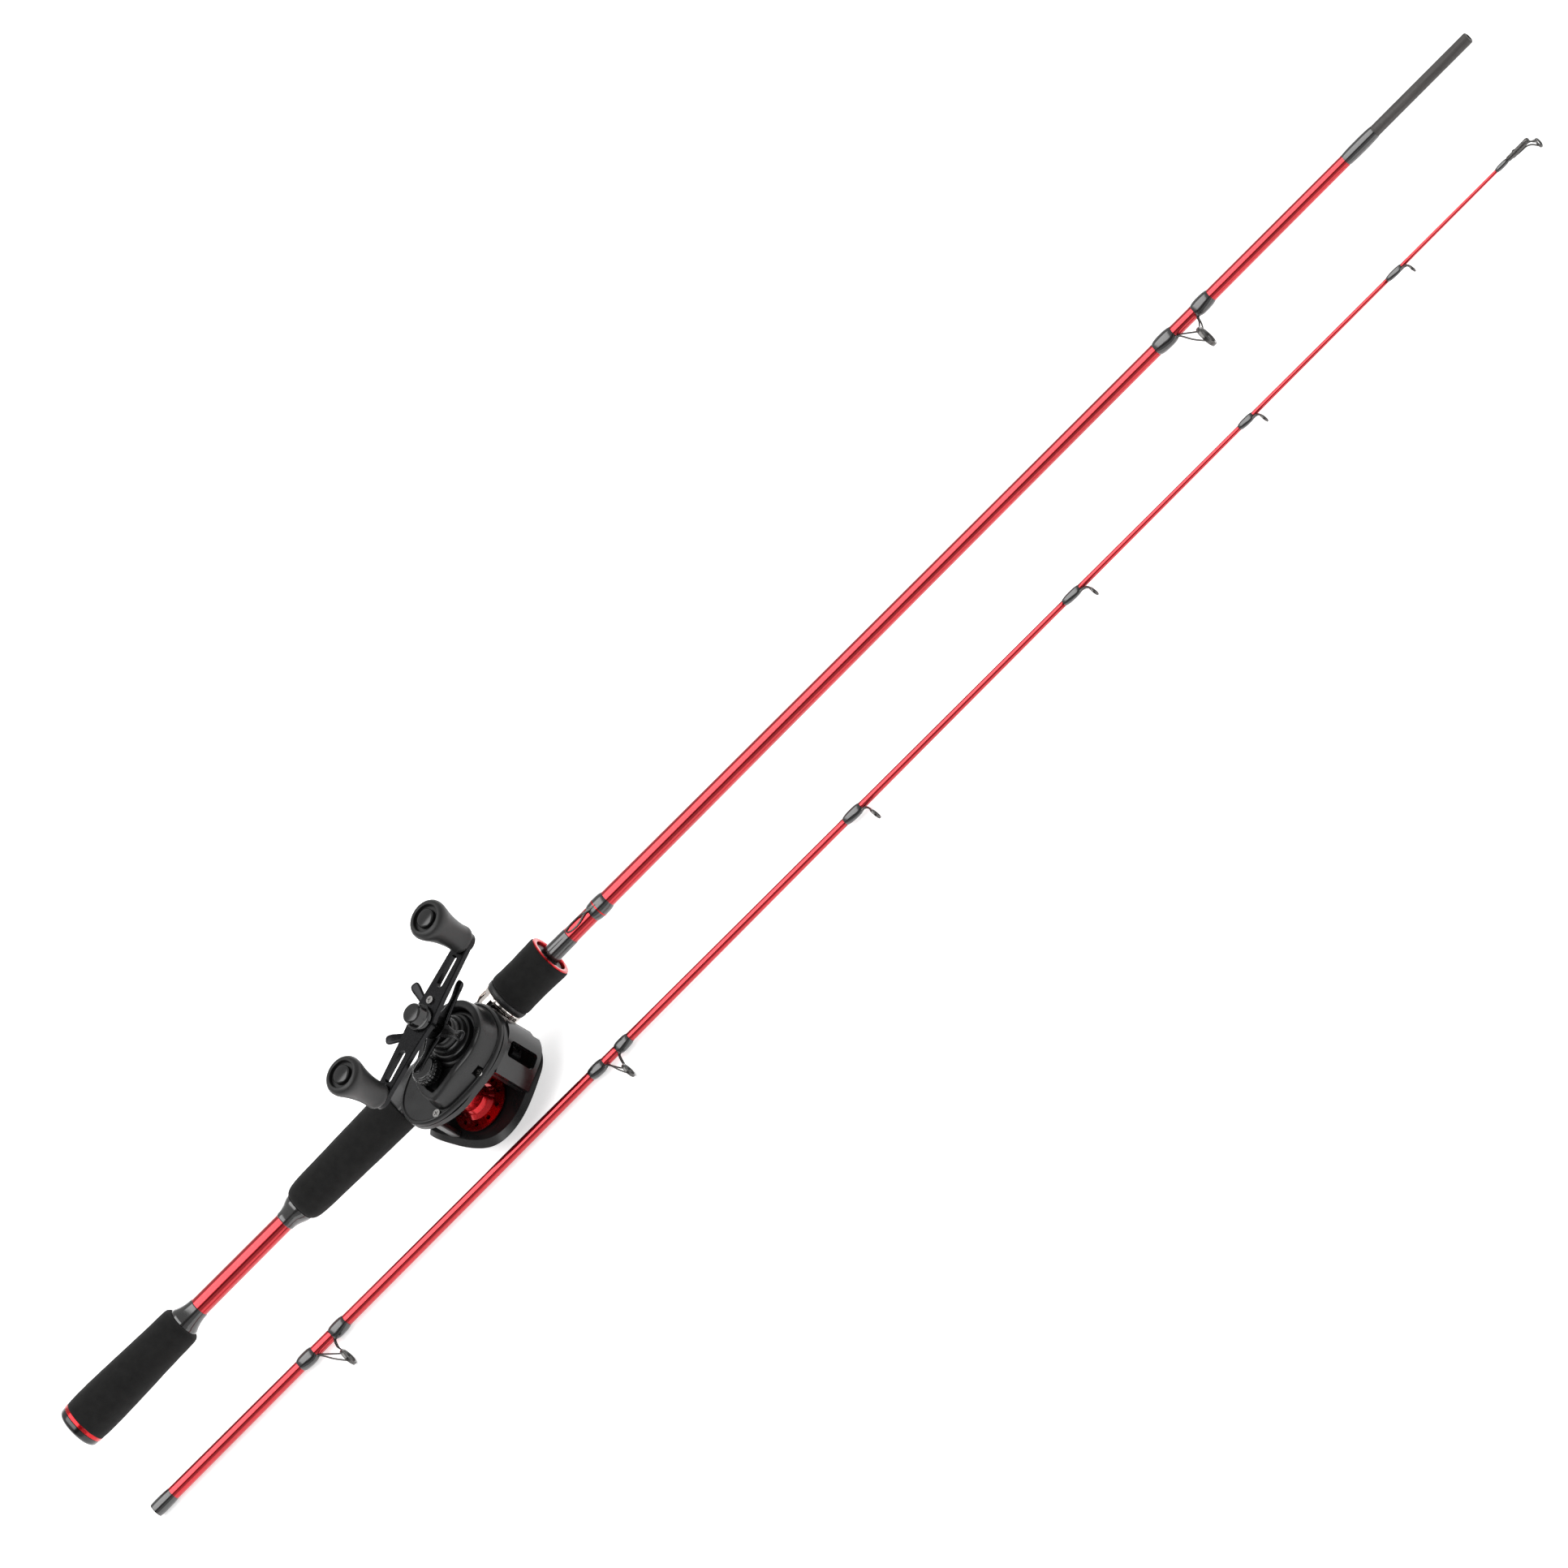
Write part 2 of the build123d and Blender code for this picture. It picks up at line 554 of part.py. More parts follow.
def front_cover():
    """Smooth hood over the front bars, between the two side walls."""
    with BuildPart() as cover:
        with BuildSketch(FLOOR.offset(PALM_WALL_TOP + 0.1)):
            with BuildLine():
                Spline((-3.2, 42.5), (4.4, 39.4), (11.2, 30.2), (16.2, 23.2), tangents=((1, -0.15), (0.8, -1)))
                Line((16.2, 23.2), (17.6, 24.6))
                Spline((17.6, 24.6), (12.2, 32.6), (5.4, 41.2), (-3.2, 44.2), tangents=((-0.8, 1), (-1, 0.15)))
                Line((-3.2, 44.2), (-3.2, 42.5))
            make_face()
        extrude(amount=HANDLE_WALL - PALM_WALL_TOP - 0.2)
        # level-wind window
        middle = (PALM_WALL_TOP + HANDLE_WALL) / 2
        window = Plane(origin=(7.5, 35.5, middle), x_dir=(0, 0, 1), z_dir=(0.8, 0.6, 0))
        with BuildSketch(window):
            RectangleRounded(21, 8.5, 2)
        extrude(amount=12, both=True, mode=Mode.SUBTRACT)
    keep(cover, "front_cover")


def palm_cover():
    """Palm-side shell with a flat outer face, a boss for the spool bearing and a dial recess."""
    with BuildPart() as cover:
        ruled_wall((0, PALM_FLAT), (PALM_TOP, PALM_JOINT))
        fillet(cover.faces().sort_by(Axis.Z)[0].edges(), 1.2)
        with BuildSketch(FLOOR.offset(8.4)):
            Circle(SPOOL_R - 1.2)
        extrude(amount=PALM_TOP, mode=Mode.SUBTRACT)
        with BuildSketch(FLOOR.offset(5)):
            with Locations((-8, 6)):
                Rectangle(18, 32)
        extrude(amount=PALM_TOP, mode=Mode.SUBTRACT)
        with BuildSketch(FLOOR.offset(4)):
            Circle(6.2)
        extrude(amount=7.5)
        with BuildSketch(FLOOR.offset(7)):
            Circle(4.0)
        extrude(amount=6, mode=Mode.SUBTRACT)
        with BuildSketch(FLOOR.offset(5.6)):
            Circle(SHAFT_R + 0.4)
        extrude(amount=6, mode=Mode.SUBTRACT)
        with BuildSketch(FLOOR.offset(-1)):
            with Locations(DIAL_AT):
                Circle(DIAL_R + 0.3)
        extrude(amount=3.6, mode=Mode.SUBTRACT)
        with BuildSketch(FLOOR.offset(2)):
            with Locations(DIAL_AT):
                Circle(1.5 + RUNNING)
        extrude(amount=6, mode=Mode.SUBTRACT)
    keep(cover, "palm_cover")


def brake():
    """Adjusting dial in the palm cover, and the ring of magnets that brakes the spool."""
    with BuildPart() as dial:
        with BuildSketch(FLOOR.offset(0.5)):
            with Locations(DIAL_AT):
                RegularPolygon(DIAL_R, 24)
        extrude(amount=1.8)
        with BuildSketch(FLOOR.offset(2.3)):
            with Locations(DIAL_AT):
                Circle(1.5)
        extrude(amount=4.2)
        with BuildSketch(FLOOR.offset(0.5)):
            with Locations(DIAL_AT):
                RectangleRounded(13, 2.4, 1.1)
        extrude(amount=0.7, mode=Mode.SUBTRACT)
    keep(dial, "brake_dial")
    with BuildPart() as magnets:
        with BuildSketch(FLOOR.offset(11.6)):
            with PolarLocations(5.1 + 4.2, 8):
                Circle(1.9)
        extrude(amount=2.4)
        with BuildSketch(FLOOR.offset(9.6)):
            Circle(11.4)
            Circle(6.25, mode=Mode.SUBTRACT)
        extrude(amount=2.0)
    keep(magnets, "brake_magnets")


def handle_cover():
    """Handle-side shell: thin side plate, gear case, raised rim round the drag pocket and a ridged dome."""
    with BuildPart() as cover:
        with BuildSketch(FLOOR.offset(HANDLE_WALL_TOP + 0.1)):
            make_face(closed_spline(HANDLE_OUTLINE))
        extrude(amount=COVER_TOP - HANDLE_WALL_TOP - 0.1)
        fillet(cover.faces().sort_by(Axis.Z)[-1].edges(), 1.6)
        with BuildSketch(FLOOR.offset(COVER_TOP - 1)):
            case_hull(20.6, 11.5)
        extrude(amount=CASE_TOP - COVER_TOP + 1)
        fillet(cover.faces().sort_by(Axis.Z)[-1].edges(), 2.2)
        with BuildSketch(FLOOR.offset(CASE_TOP - 0.5)):
            case_hull(18.0, 10.6)
        extrude(amount=RIM_TOP - CASE_TOP + 0.5)
        fillet(cover.faces().sort_by(Axis.Z)[-1].edges(), 0.8)
        with BuildSketch(FLOOR.offset(POCKET_FLOOR)):
            case_hull(16.2, 9.0)
        extrude(amount=6, mode=Mode.SUBTRACT)
        # ridged dome round the drive shaft
        add(turned_up(*CRANK_AT, [
            (POCKET_FLOOR - 0.5, 0), (POCKET_FLOOR - 0.5, 12.4), (63.6, 12.4), (64.4, 11.8), (64.4, 11.2),
            (66.4, 11.0), (67.2, 10.4), (67.2, 9.8), (69.2, 9.6), (70.0, 9.0), (70.0, 8.6), (71.4, 8.4),
            (DOME_TOP, 7.8), (DOME_TOP, 0),
        ]).part)
        # tension cap boss
        with BuildSketch(FLOOR.offset(POCKET_FLOOR - 0.5)):
            Circle(5.4)
        extrude(amount=5.5)
        # gear cavity, bearing seat and shaft holes
        with BuildSketch(FLOOR.offset(HANDLE_WALL_TOP)):
            case_hull(19.1, 6.0)
            with Locations(WORM_AT):
                Circle(5.2)
        extrude(amount=57.6 - HANDLE_WALL_TOP, mode=Mode.SUBTRACT)
        with BuildSketch(FLOOR.offset(59.0)):
            with Locations(CRANK_AT):
                Circle(7.0)
        extrude(amount=DOME_TOP - 59.0 + 1, mode=Mode.SUBTRACT)
        with BuildSketch(FLOOR.offset(50)):
            with Locations(CRANK_AT):
                Circle(3.4)
        extrude(amount=30, mode=Mode.SUBTRACT)
        with BuildSketch(FLOOR.offset(50)):
            Circle(3.0)
        extrude(amount=30, mode=Mode.SUBTRACT)
        # countersunk seats for the two side screws
        for x, y in SCREWS_AT:
            with BuildSketch(FLOOR.offset(SCREW_SEAT)):
                with Locations((x, y)):
                    Circle(2.5)
            extrude(amount=8, mode=Mode.SUBTRACT)
            with BuildSketch(FLOOR.offset(40)):
                with Locations((x, y)):
                    Circle(1.0)
            extrude(amount=20, mode=Mode.SUBTRACT)
    keep(cover, "handle_cover")


def small_reel_hardware():
    """Cover screws, bearings, anti-reverse clutch, level-wind guide bar and the reel foot."""
    with BuildPart() as screws:
        for x, y in SCREWS_AT:
            with BuildSketch(FLOOR.offset(SCREW_SEAT)):
                with Locations((x, y)):
                    Circle(SCREW_HEAD_R)
            extrude(amount=1.3)
            with BuildSketch(FLOOR.offset(SCREW_SEAT + 0.7)):
                with Locations((x, y)):
                    Rectangle(2.6, 0.6)
                    Rectangle(0.6, 2.6)
            extrude(amount=1, mode=Mode.SUBTRACT)
            with BuildSketch(FLOOR.offset(HANDLE_WALL_TOP + 0.02)):
                with Locations((x, y)):
                    Circle(1.0)
            extrude(amount=SCREW_SEAT - HANDLE_WALL_TOP)
    keep(screws, "cover_screws")

    races = [
        ((0, 0), 7.0, 10.0, 4.0, SHAFT_R),
        ((0, 0), 46.4, 49.2, 4.0, SHAFT_R),
        (CRANK_AT, 46.4, 49.2, 4.5, DRIVE_R),
    ]
    with BuildPart() as bearings:
        for (x, y), low, high, outer, inner in races:
            with BuildSketch(FLOOR.offset(low)):
                with Locations((x, y)):
                    Circle(outer)
                    Circle(inner + RUNNING, mode=Mode.SUBTRACT)
            extrude(amount=high - low)
    keep(bearings, "ball_bearings")

    keep(turned_up(*CRANK_AT, [(59.5, DRIVE_R + RUNNING), (59.5, 7.0), (70.5, 7.0), (70.5, DRIVE_R + RUNNING)]),
         "anti_reverse_bearing")

    with BuildPart() as bar:
        with BuildSketch(FLOOR.offset(PALM_WALL_TOP)):
            with Locations(GUIDE_BAR_AT):
                Circle(GUIDE_BAR_R)
        extrude(amount=HANDLE_WALL - PALM_WALL_TOP)
    keep(bar, "guide_bar")

    # foot plate: long tongues fit the seat's hoods, waist under the frame
    with BuildPart() as foot:
        seat_face = (-ROD_BELOW_SPOOL + DECK + 0.05, 0, ROD_HEIGHT)
        foot_plane = Plane(origin=seat_face, x_dir=(0, 1, 0), z_dir=(1, 0, 0))
        with BuildSketch(foot_plane):
            with Locations((FOOT_MIDDLE, 0)):
                SlotOverall(FOOT_LENGTH, 11.5)
            with Locations((3, 0)):
                RectangleRounded(46, 16, 4)
        extrude(amount=FOOT_THICK - 0.1)
    keep(foot, "reel_foot")


# --- Reel mechanism ---------------------------------------------------------------------------
def gear_points(teeth, module, phase, thin=0.06):
    """Corner points of a spur gear's outline; each flank follows the involute of its base circle."""
    pitch_r = module * teeth / 2
    base_r = pitch_r * math.cos(math.radians(20))
    tip_r = pitch_r + 0.8 * module
    root_r = pitch_r - 1.1 * module
    half = math.pi / (2 * teeth) - thin * module / pitch_r

    def involute(r):
        bend = math.acos(min(1.0, base_r / r))
        return math.tan(bend) - bend

    at_pitch = involute(pitch_r)
    radii = [max(root_r, base_r * 1.001), pitch_r, tip_r]
    flank = [(r, half + at_pitch - involute(r)) for r in radii]
    if root_r < radii[0]:
        flank.insert(0, (root_r, flank[0][1]))
    points = []
    for tooth in range(teeth):
        middle = phase + 2 * math.pi * tooth / teeth
        for r, spread in flank:
            points.append((r * math.cos(middle - spread), r * math.sin(middle - spread)))
        for r, spread in reversed(flank):
            points.append((r * math.cos(middle + spread), r * math.sin(middle + spread)))
    return points


def gear(place, low, high, teeth, module, phase, bore):
    """Spur gear round a line parallel to Z."""
    with BuildPart() as wheel:
        with BuildSketch(Plane(origin=(*place, low))):
            with BuildLine():
                Polyline(gear_points(teeth, module, phase), close=True)
            make_face()
            Circle(bore, mode=Mode.SUBTRACT)
        extrude(amount=high - low)
    return wheel


def meshing_phases(driver_at, driven_at, driven_teeth):
    """Turns of two gears that put a tooth of the driver into a gap of the driven one."""
    toward = math.atan2(driven_at[1] - driver_at[1], driven_at[0] - driver_at[0])
    return toward, toward + math.pi + math.pi / driven_teeth


def gears():
    """Main gear and pinion, and the two cogs that turn the level-wind worm."""
    reach = math.dist(CRANK_AT, (0, 0))
    module = 2 * reach / (MAIN_TEETH + PINION_TEETH)
    main_phase, pinion_phase = meshing_phases(CRANK_AT, (0, 0), PINION_TEETH)
    with BuildPart() as main:
        add(gear(CRANK_AT, 52.0, 55.0, MAIN_TEETH, module, main_phase, DRIVE_R).part)
        with BuildSketch(Plane(origin=(*CRANK_AT, 51.0))):
            with PolarLocations(11.2, 6):
                Circle(2.6)
        extrude(amount=6, mode=Mode.SUBTRACT)
    keep(main, "main_gear")
    with BuildPart() as pinion:
        add(gear((0, 0), 51.2, 56.4, PINION_TEETH, module, pinion_phase, SHAFT_R).part)
    keep(pinion, "pinion_gear")

    reach = math.dist(CRANK_AT, WORM_AT)
    module = 2 * reach / (COG_TEETH + WORM_TEETH)
    cog_phase, worm_phase = meshing_phases(CRANK_AT, WORM_AT, WORM_TEETH)
    keep(gear(CRANK_AT, 50.0, 51.4, COG_TEETH, module, cog_phase, DRIVE_R), "cog_gear")
    keep(gear(WORM_AT, 50.0, 51.3, WORM_TEETH, module, worm_phase, 1.2), "worm_gear")


def spool_parts():
    """Braided-line spool with drilled flanges, and its shaft."""
    with BuildPart() as spool:
        add(turned_up(0, 0, [
            (SPOOL_LOW, SHAFT_R), (SPOOL_LOW, SPOOL_R - 0.6), (SPOOL_LOW + 0.4, SPOOL_R),
            (SPOOL_LOW + 1.2, SPOOL_R), (SPOOL_LOW + 2.2, 10.4), (25.4, 8.8), (28.5, 8.2), (37.5, 8.2),
            (40.6, 8.8), (SPOOL_HIGH - 2.2, 10.4),
            (SPOOL_HIGH - 1.2, SPOOL_R), (SPOOL_HIGH - 0.4, SPOOL_R), (SPOOL_HIGH, SPOOL_R - 0.6),
            (SPOOL_HIGH, 9.0), (SPOOL_HIGH - 1.4, 8.4), (SPOOL_HIGH - 1.4, SHAFT_R),
        ]).part)
        with BuildSketch(FLOOR.offset(SPOOL_LOW - 1)):
            with PolarLocations(12.8, 10):
                Circle(1.3)
        extrude(amount=4.2, mode=Mode.SUBTRACT)
    keep(spool, "spool")
    keep(turned_up(0, 0, [
        (6.0, 0), (6.0, SHAFT_R), (SPOOL_LOW - 0.5, SHAFT_R), (62.4, SHAFT_R), (63.0, SHAFT_R - 0.6), (63.0, 0),
    ]), "spool_shaft")


def crank_parts():
    """Drive shaft, drag washers, handle arm, nut cap, retaining screw and knob spindles."""
    keep(turned_up(*CRANK_AT, [(46.4, 0), (46.4, DRIVE_R), (92.0, DRIVE_R), (92.0, 0)]), "drive_shaft")
    with BuildPart() as washers:
        for level in range(3):
            with BuildSketch(Plane(origin=(*CRANK_AT, 55.1 + 0.75 * level))):
                Circle(13.0)
                Circle(DRIVE_R, mode=Mode.SUBTRACT)
            extrude(amount=0.6)
    keep(washers, "drag_washers")

    with BuildPart() as arm:
        with BuildSketch(CRANK.offset(ARM_LOW)):
            for side in (-1, 1):
                with BuildLine():
                    Polyline((0, 8.2), (14 * side, 6.6), (CRANK_THROW * side, 4.9),
                             (CRANK_THROW * side, -4.9), (14 * side, -6.6), (0, -8.2), close=True)
                make_face()
                with Locations((side * CRANK_THROW, 0)):
                    Circle(5.6)
            Circle(8.6)
            Circle(DRIVE_R, mode=Mode.SUBTRACT)
            for side in (-1, 1):
                with Locations((side * 27.5, 0)):
                    SlotOverall(18.5, 4.4, mode=Mode.SUBTRACT)
                with Locations((side * CRANK_THROW, 0)):
                    Circle(2.0, mode=Mode.SUBTRACT)
            with Locations((ARM_SCREW, 0)):
                Circle(1.2, mode=Mode.SUBTRACT)
        extrude(amount=ARM_HIGH - ARM_LOW)
        chamfer(arm.faces().sort_by(Axis.Z)[-1].outer_wire().edges(), 0.5)
    keep(arm, "handle_arm")

    keep(turned_up(*CRANK_AT, [
        (ARM_HIGH, DRIVE_R), (ARM_HIGH, 7.2), (90.2, 7.0), (91.4, 6.0), (95.2, 5.6), (96.2, 4.6), (96.2, 0),
        (92.0, 0), (92.0, DRIVE_R),
    ]), "handle_nut_cap")
    head = CRANK.offset(ARM_HIGH)
    with BuildPart() as screw:
        with BuildSketch(head):
            with Locations((ARM_SCREW, 0)):
                Circle(2.1)
        extrude(amount=1.1)
        with BuildSketch(head.offset(0.5)):
            with Locations((ARM_SCREW, 0)):
                Rectangle(2.6, 0.6)
                Rectangle(0.6, 2.6)
        extrude(amount=1, mode=Mode.SUBTRACT)
        with BuildSketch(head.offset(-2.4)):
            with Locations((ARM_SCREW, 0)):
                Circle(1.2)
        extrude(amount=2.4)
    keep(screw, "handle_screw")

    with BuildPart() as spindles:
        with BuildSketch(CRANK.offset(ARM_LOW)):
            with Locations((CRANK_THROW, 0), (-CRANK_THROW, 0)):
                Circle(2.0)
        extrude(amount=KNOB_HIGH - 6 - ARM_LOW)
    keep(spindles, "knob_spindles")


def knobs():
    """Two flared knobs, each with a cap set in its outer face."""
    for label, side in (("front", 1), ("rear", -1)):
        x, y, _ = tuple(CRANK.from_local_coords(Vector(side * CRANK_THROW, 0, 0)))
        top = KNOB_HIGH
        outline = [
            (KNOB_LOW, 2.0 + RUNNING), (KNOB_LOW, 6.6), (KNOB_LOW + 1.0, 7.3), (KNOB_LOW + 5, 7.2),
            (KNOB_LOW + 12, 7.6), (top - 12, 8.9), (top - 7, 10.3), (top - 3.5, 10.9), (top - 1.2, 10.3),
            (top - 0.2, 8.9), (top - 0.2, 7.6), (top - 2.6, 7.2), (top - 2.6, 5.3), (top - 3.4, 5.3),
            (top - 3.4, 2.0 + RUNNING),
        ]
        keep(turned_up(x, y, outline), f"knob_{label}")
        keep(turned_up(x, y, [
            (top - 3.35, 0), (top - 3.35, 5.2), (top - 0.5, 5.2), (top, 4.5), (top, 0),
        ]), f"knob_cap_{label}")


def star_drag():
    """Star wheel: a hub with five fingers that rise outwards to rounded tips."""
    with BuildPart() as star:
        add(turned_up(*CRANK_AT, [
            (STAR_LOW, DRIVE_R + RUNNING), (STAR_LOW, 6.8), (STAR_LOW + 1, 7.4), (STAR_LOW + 3, 7.4),
            (STAR_LOW + 4.2, 6.2), (STAR_LOW + 4.2, DRIVE_R + RUNNING),
        ]).part)
        for number in range(STAR_ARMS):
            turn = math.radians(90 + STAR_TURN + number * 360 / STAR_ARMS)
            out = Vector(math.cos(turn), math.sin(turn), 0)
            hub = Vector(*CRANK_AT, 0)
            # reach, level, width and thickness of each cut through the finger
            stations = [
                (5.8, STAR_LOW + 2.2, 5.6, 3.4), (13.0, STAR_LOW + 3.8, 3.8, 2.6), (20.5, 79.8, 4.2, 2.3),
                (STAR_REACH, 81.6, 5.2, 1.8),
            ]
            sections = []
            for reach, level, across, thick in stations:
                across_finger = Plane(
                    origin=hub + out * reach + Vector(0, 0, level), x_dir=out.cross(Vector(0, 0, 1)), z_dir=out,
                )
                with BuildSketch(across_finger) as cut:
                    RectangleRounded(across, thick, 0.42 * thick)
                sections.append(cut.sketch)
            loft(sections)
    keep(star, "star_drag")


def level_wind():
    """Worm shaft, the carriage that rides on it, and the carriage's hard line eye."""
    keep(turned_up(*WORM_AT, [
        (PALM_WALL_TOP - 2.3, 0), (PALM_WALL_TOP - 2.3, WORM_R), (49.6, WORM_R), (49.6, 1.2), (51.5, 1.2),
        (51.5, 0),
    ]), "worm_shaft")
    middle = (PALM_WALL_TOP + HANDLE_WALL) / 2
    eye_at = (2.2, 33.2)
    with BuildPart() as carriage:
        with BuildSketch(FLOOR.offset(middle - 3.2)):
            with BuildLine():
                Polyline((-14.4, 28.4), (-14.4, 34.4), (-6.5, 38.0), (-0.8, 38.4), (6.2, 34.6), (6.2, 31.6),
                         (-6.0, 28.0), close=True)
            make_face()
            with Locations(WORM_AT):
                Circle(2.2 + RUNNING, mode=Mode.SUBTRACT)
            with Locations(GUIDE_BAR_AT):
                Circle(GUIDE_BAR_R + RUNNING, mode=Mode.SUBTRACT)
        extrude(amount=6.4)
        with BuildSketch(Plane(origin=(*eye_at, middle), x_dir=(1, 0, 0), z_dir=(0, -1, 0))):
            Circle(2.6)
        extrude(amount=8, both=True, mode=Mode.SUBTRACT)
    keep(carriage, "line_guide")
    with BuildPart() as eye:
        with BuildSketch(Plane(origin=(*eye_at, middle), x_dir=(1, 0, 0), z_dir=(0, -1, 0))):
            Circle(2.6)
            Circle(2.05, mode=Mode.SUBTRACT)
        extrude(amount=1.7, both=True)
    keep(eye, "line_guide_eye")


def controls():
    """Thumb bar behind the spool and tension cap on the spool's axis."""
    with BuildPart() as bar:
        with BuildSketch(FLOOR.offset(PALM_WALL_TOP + 0.4)):
            with BuildLine():
                Spline((-7.0, -21.6), (-1.0, -20.4), (4.2, -17.4), tangents=((1, 0.1), (1, 0.8)))
                Line((4.2, -17.4), (6.4, -19.4))
                Spline((6.4, -19.4), (0.5, -23.8), (-7.0, -25.2), tangents=((-1, -0.9), (-1, -0.1)))
                Line((-7.0, -25.2), (-7.0, -21.6))
            make_face()
        extrude(amount=HANDLE_WALL - PALM_WALL_TOP - 0.8)
        fillet(bar.edges().filter_by(Axis.Z).sort_by(Axis.X)[-2:], 0.9)
    keep(bar, "thumb_bar")

    with BuildPart() as cap:
        add(turned_up(0, 0, [
            (61.7, 5.4 + RUNNING), (61.7, 7.4), (62.3, 8.0), (66.6, 8.0), (67.6, 7.0), (68.4, 6.4), (68.4, 0),
            (66.9, 0), (66.9, 5.4 + RUNNING),
        ]).part)
        with BuildSketch(FLOOR.offset(61)):
            with PolarLocations(8.25, 24):
                Circle(0.5)
        extrude(amount=6.2, mode=Mode.SUBTRACT)
    keep(cap, "tension_cap")


butt_section()
butt_fittings()
line_guides()
tip_section()
reel_seat()
nut_and_fore_grip()
reel_frame()
front_cover()
palm_cover()
brake()
handle_cover()
small_reel_hardware()
gears()
spool_parts()
crank_parts()
knobs()
star_drag()
level_wind()
controls()

os.makedirs("parts", exist_ok=True)
for part in parts_made:
    export_step(part, f"parts/{part.label}.step")
print(len(parts_made), "nodes written")
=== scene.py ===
import json
import math

import bpy
from mathutils import Matrix, Vector, noise


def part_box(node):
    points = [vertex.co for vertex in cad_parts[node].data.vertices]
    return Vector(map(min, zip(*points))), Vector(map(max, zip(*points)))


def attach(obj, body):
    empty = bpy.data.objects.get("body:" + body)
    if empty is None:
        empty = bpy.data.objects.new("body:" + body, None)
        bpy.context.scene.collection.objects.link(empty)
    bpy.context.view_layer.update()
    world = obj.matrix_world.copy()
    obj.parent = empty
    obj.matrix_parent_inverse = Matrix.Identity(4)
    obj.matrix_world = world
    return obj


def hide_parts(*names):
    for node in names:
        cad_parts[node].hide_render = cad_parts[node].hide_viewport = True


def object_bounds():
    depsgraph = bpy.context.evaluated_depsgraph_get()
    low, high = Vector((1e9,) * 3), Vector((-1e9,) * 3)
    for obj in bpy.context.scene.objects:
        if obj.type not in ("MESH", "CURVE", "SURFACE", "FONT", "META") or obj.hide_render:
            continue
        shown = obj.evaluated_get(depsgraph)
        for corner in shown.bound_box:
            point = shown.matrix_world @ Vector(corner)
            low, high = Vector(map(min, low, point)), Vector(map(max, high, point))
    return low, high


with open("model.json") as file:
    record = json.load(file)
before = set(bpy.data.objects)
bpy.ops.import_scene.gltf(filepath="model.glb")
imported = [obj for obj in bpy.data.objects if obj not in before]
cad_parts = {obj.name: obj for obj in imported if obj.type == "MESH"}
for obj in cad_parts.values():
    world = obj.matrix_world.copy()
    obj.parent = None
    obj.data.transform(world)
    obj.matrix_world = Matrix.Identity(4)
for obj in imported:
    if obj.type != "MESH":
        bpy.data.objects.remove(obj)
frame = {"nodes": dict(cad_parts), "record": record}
cad_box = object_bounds()

MM = 0.001
CAD_CREASE = 30.0           # degrees; an edge sharper than this stays sharp
OWN_CREASE = 35.0           # degrees
COVER_CREASE = 28.0         # degrees
WIRE_SIDES = 14             # of a round wire's mesh

# Blank radii: (distance from the section's rear end, radius), in mm
BUTT_TAPER = [(6, 5.4), (92, 5.4), (155, 5.25), (395, 4.63), (535, 4.22), (688, 3.83), (850, 3.55),
              (961, 3.4)]
TIP_TAPER = [(0, 3.95), (14, 3.7), (102, 3.42), (255, 2.98), (408, 2.47), (569, 2.0), (781, 1.45),
             (1010, 0.95)]

# --- Places, worked out from the frame ----------------------------------------------------------
spigot_low, spigot_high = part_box("ferrule_spigot")
tip_low, tip_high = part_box("tip_blank")
cap_low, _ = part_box("butt_cap")
main_low, main_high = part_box("drive_shaft")
BUTT_AT = Vector(((spigot_low.x + spigot_high.x) / 2, cap_low.y, (spigot_low.z + spigot_high.z) / 2))
TIP_AT = Vector(((tip_low.x + tip_high.x) / 2, tip_low.y, (tip_low.z + tip_high.z) / 2))
CRANK_AT = Vector(((main_low.x + main_high.x) / 2, (main_low.y + main_high.y) / 2, 0))

ALONG = Vector((0, 1, 0))
UP = Vector((0, 0, 1))


# --- Mesh helpers -------------------------------------------------------------------------------
def frame_about(direction):
    """Two unit vectors at right angles to a direction."""
    side = direction.cross(UP)
    if side.length < 1e-6:
        side = direction.cross(Vector((1, 0, 0)))
    side.normalize()
    return side, side.cross(direction).normalized()


def lathe(profile, origin, axis=ALONG, segments=96):
    """Turned mesh. profile lists (place along the axis, radius) in mm; its open ends are joined up."""
    u, v = frame_about(axis)
    verts, rings = [], []
    for along, radius in profile:
        centre = origin + axis * (along * MM)
        if radius <= 1e-6:
            rings.append([len(verts)])
            verts.append(centre)
            continue
        rings.append(list(range(len(verts), len(verts) + segments)))
        for i in range(segments):
            angle = 2 * math.pi * i / segments
            verts.append(centre + (u * math.cos(angle) + v * math.sin(angle)) * (radius * MM))
    pairs = list(zip(rings, rings[1:]))
    if profile[0][1] > 1e-6 and profile[-1][1] > 1e-6:
        pairs.append((rings[-1], rings[0]))
    faces = []
    for a, b in pairs:
        for i in range(segments):
            j = (i + 1) % segments
            if len(a) > 1 and len(b) > 1:
                faces.append((a[i], a[j], b[j], b[i]))
            elif len(a) > 1:
                faces.append((a[i], a[j], b[0]))
            elif len(b) > 1:
                faces.append((a[0], b[j], b[i]))
    return verts, faces


def between(a, b, c, d, t):
    """Catmull-Rom value at share t of the way from b to c."""
    return 0.5 * (2 * b + (c - a) * t + (2 * a - 5 * b + 4 * c - d) * t * t
                  + (3 * b - a - 3 * c + d) * t ** 3)


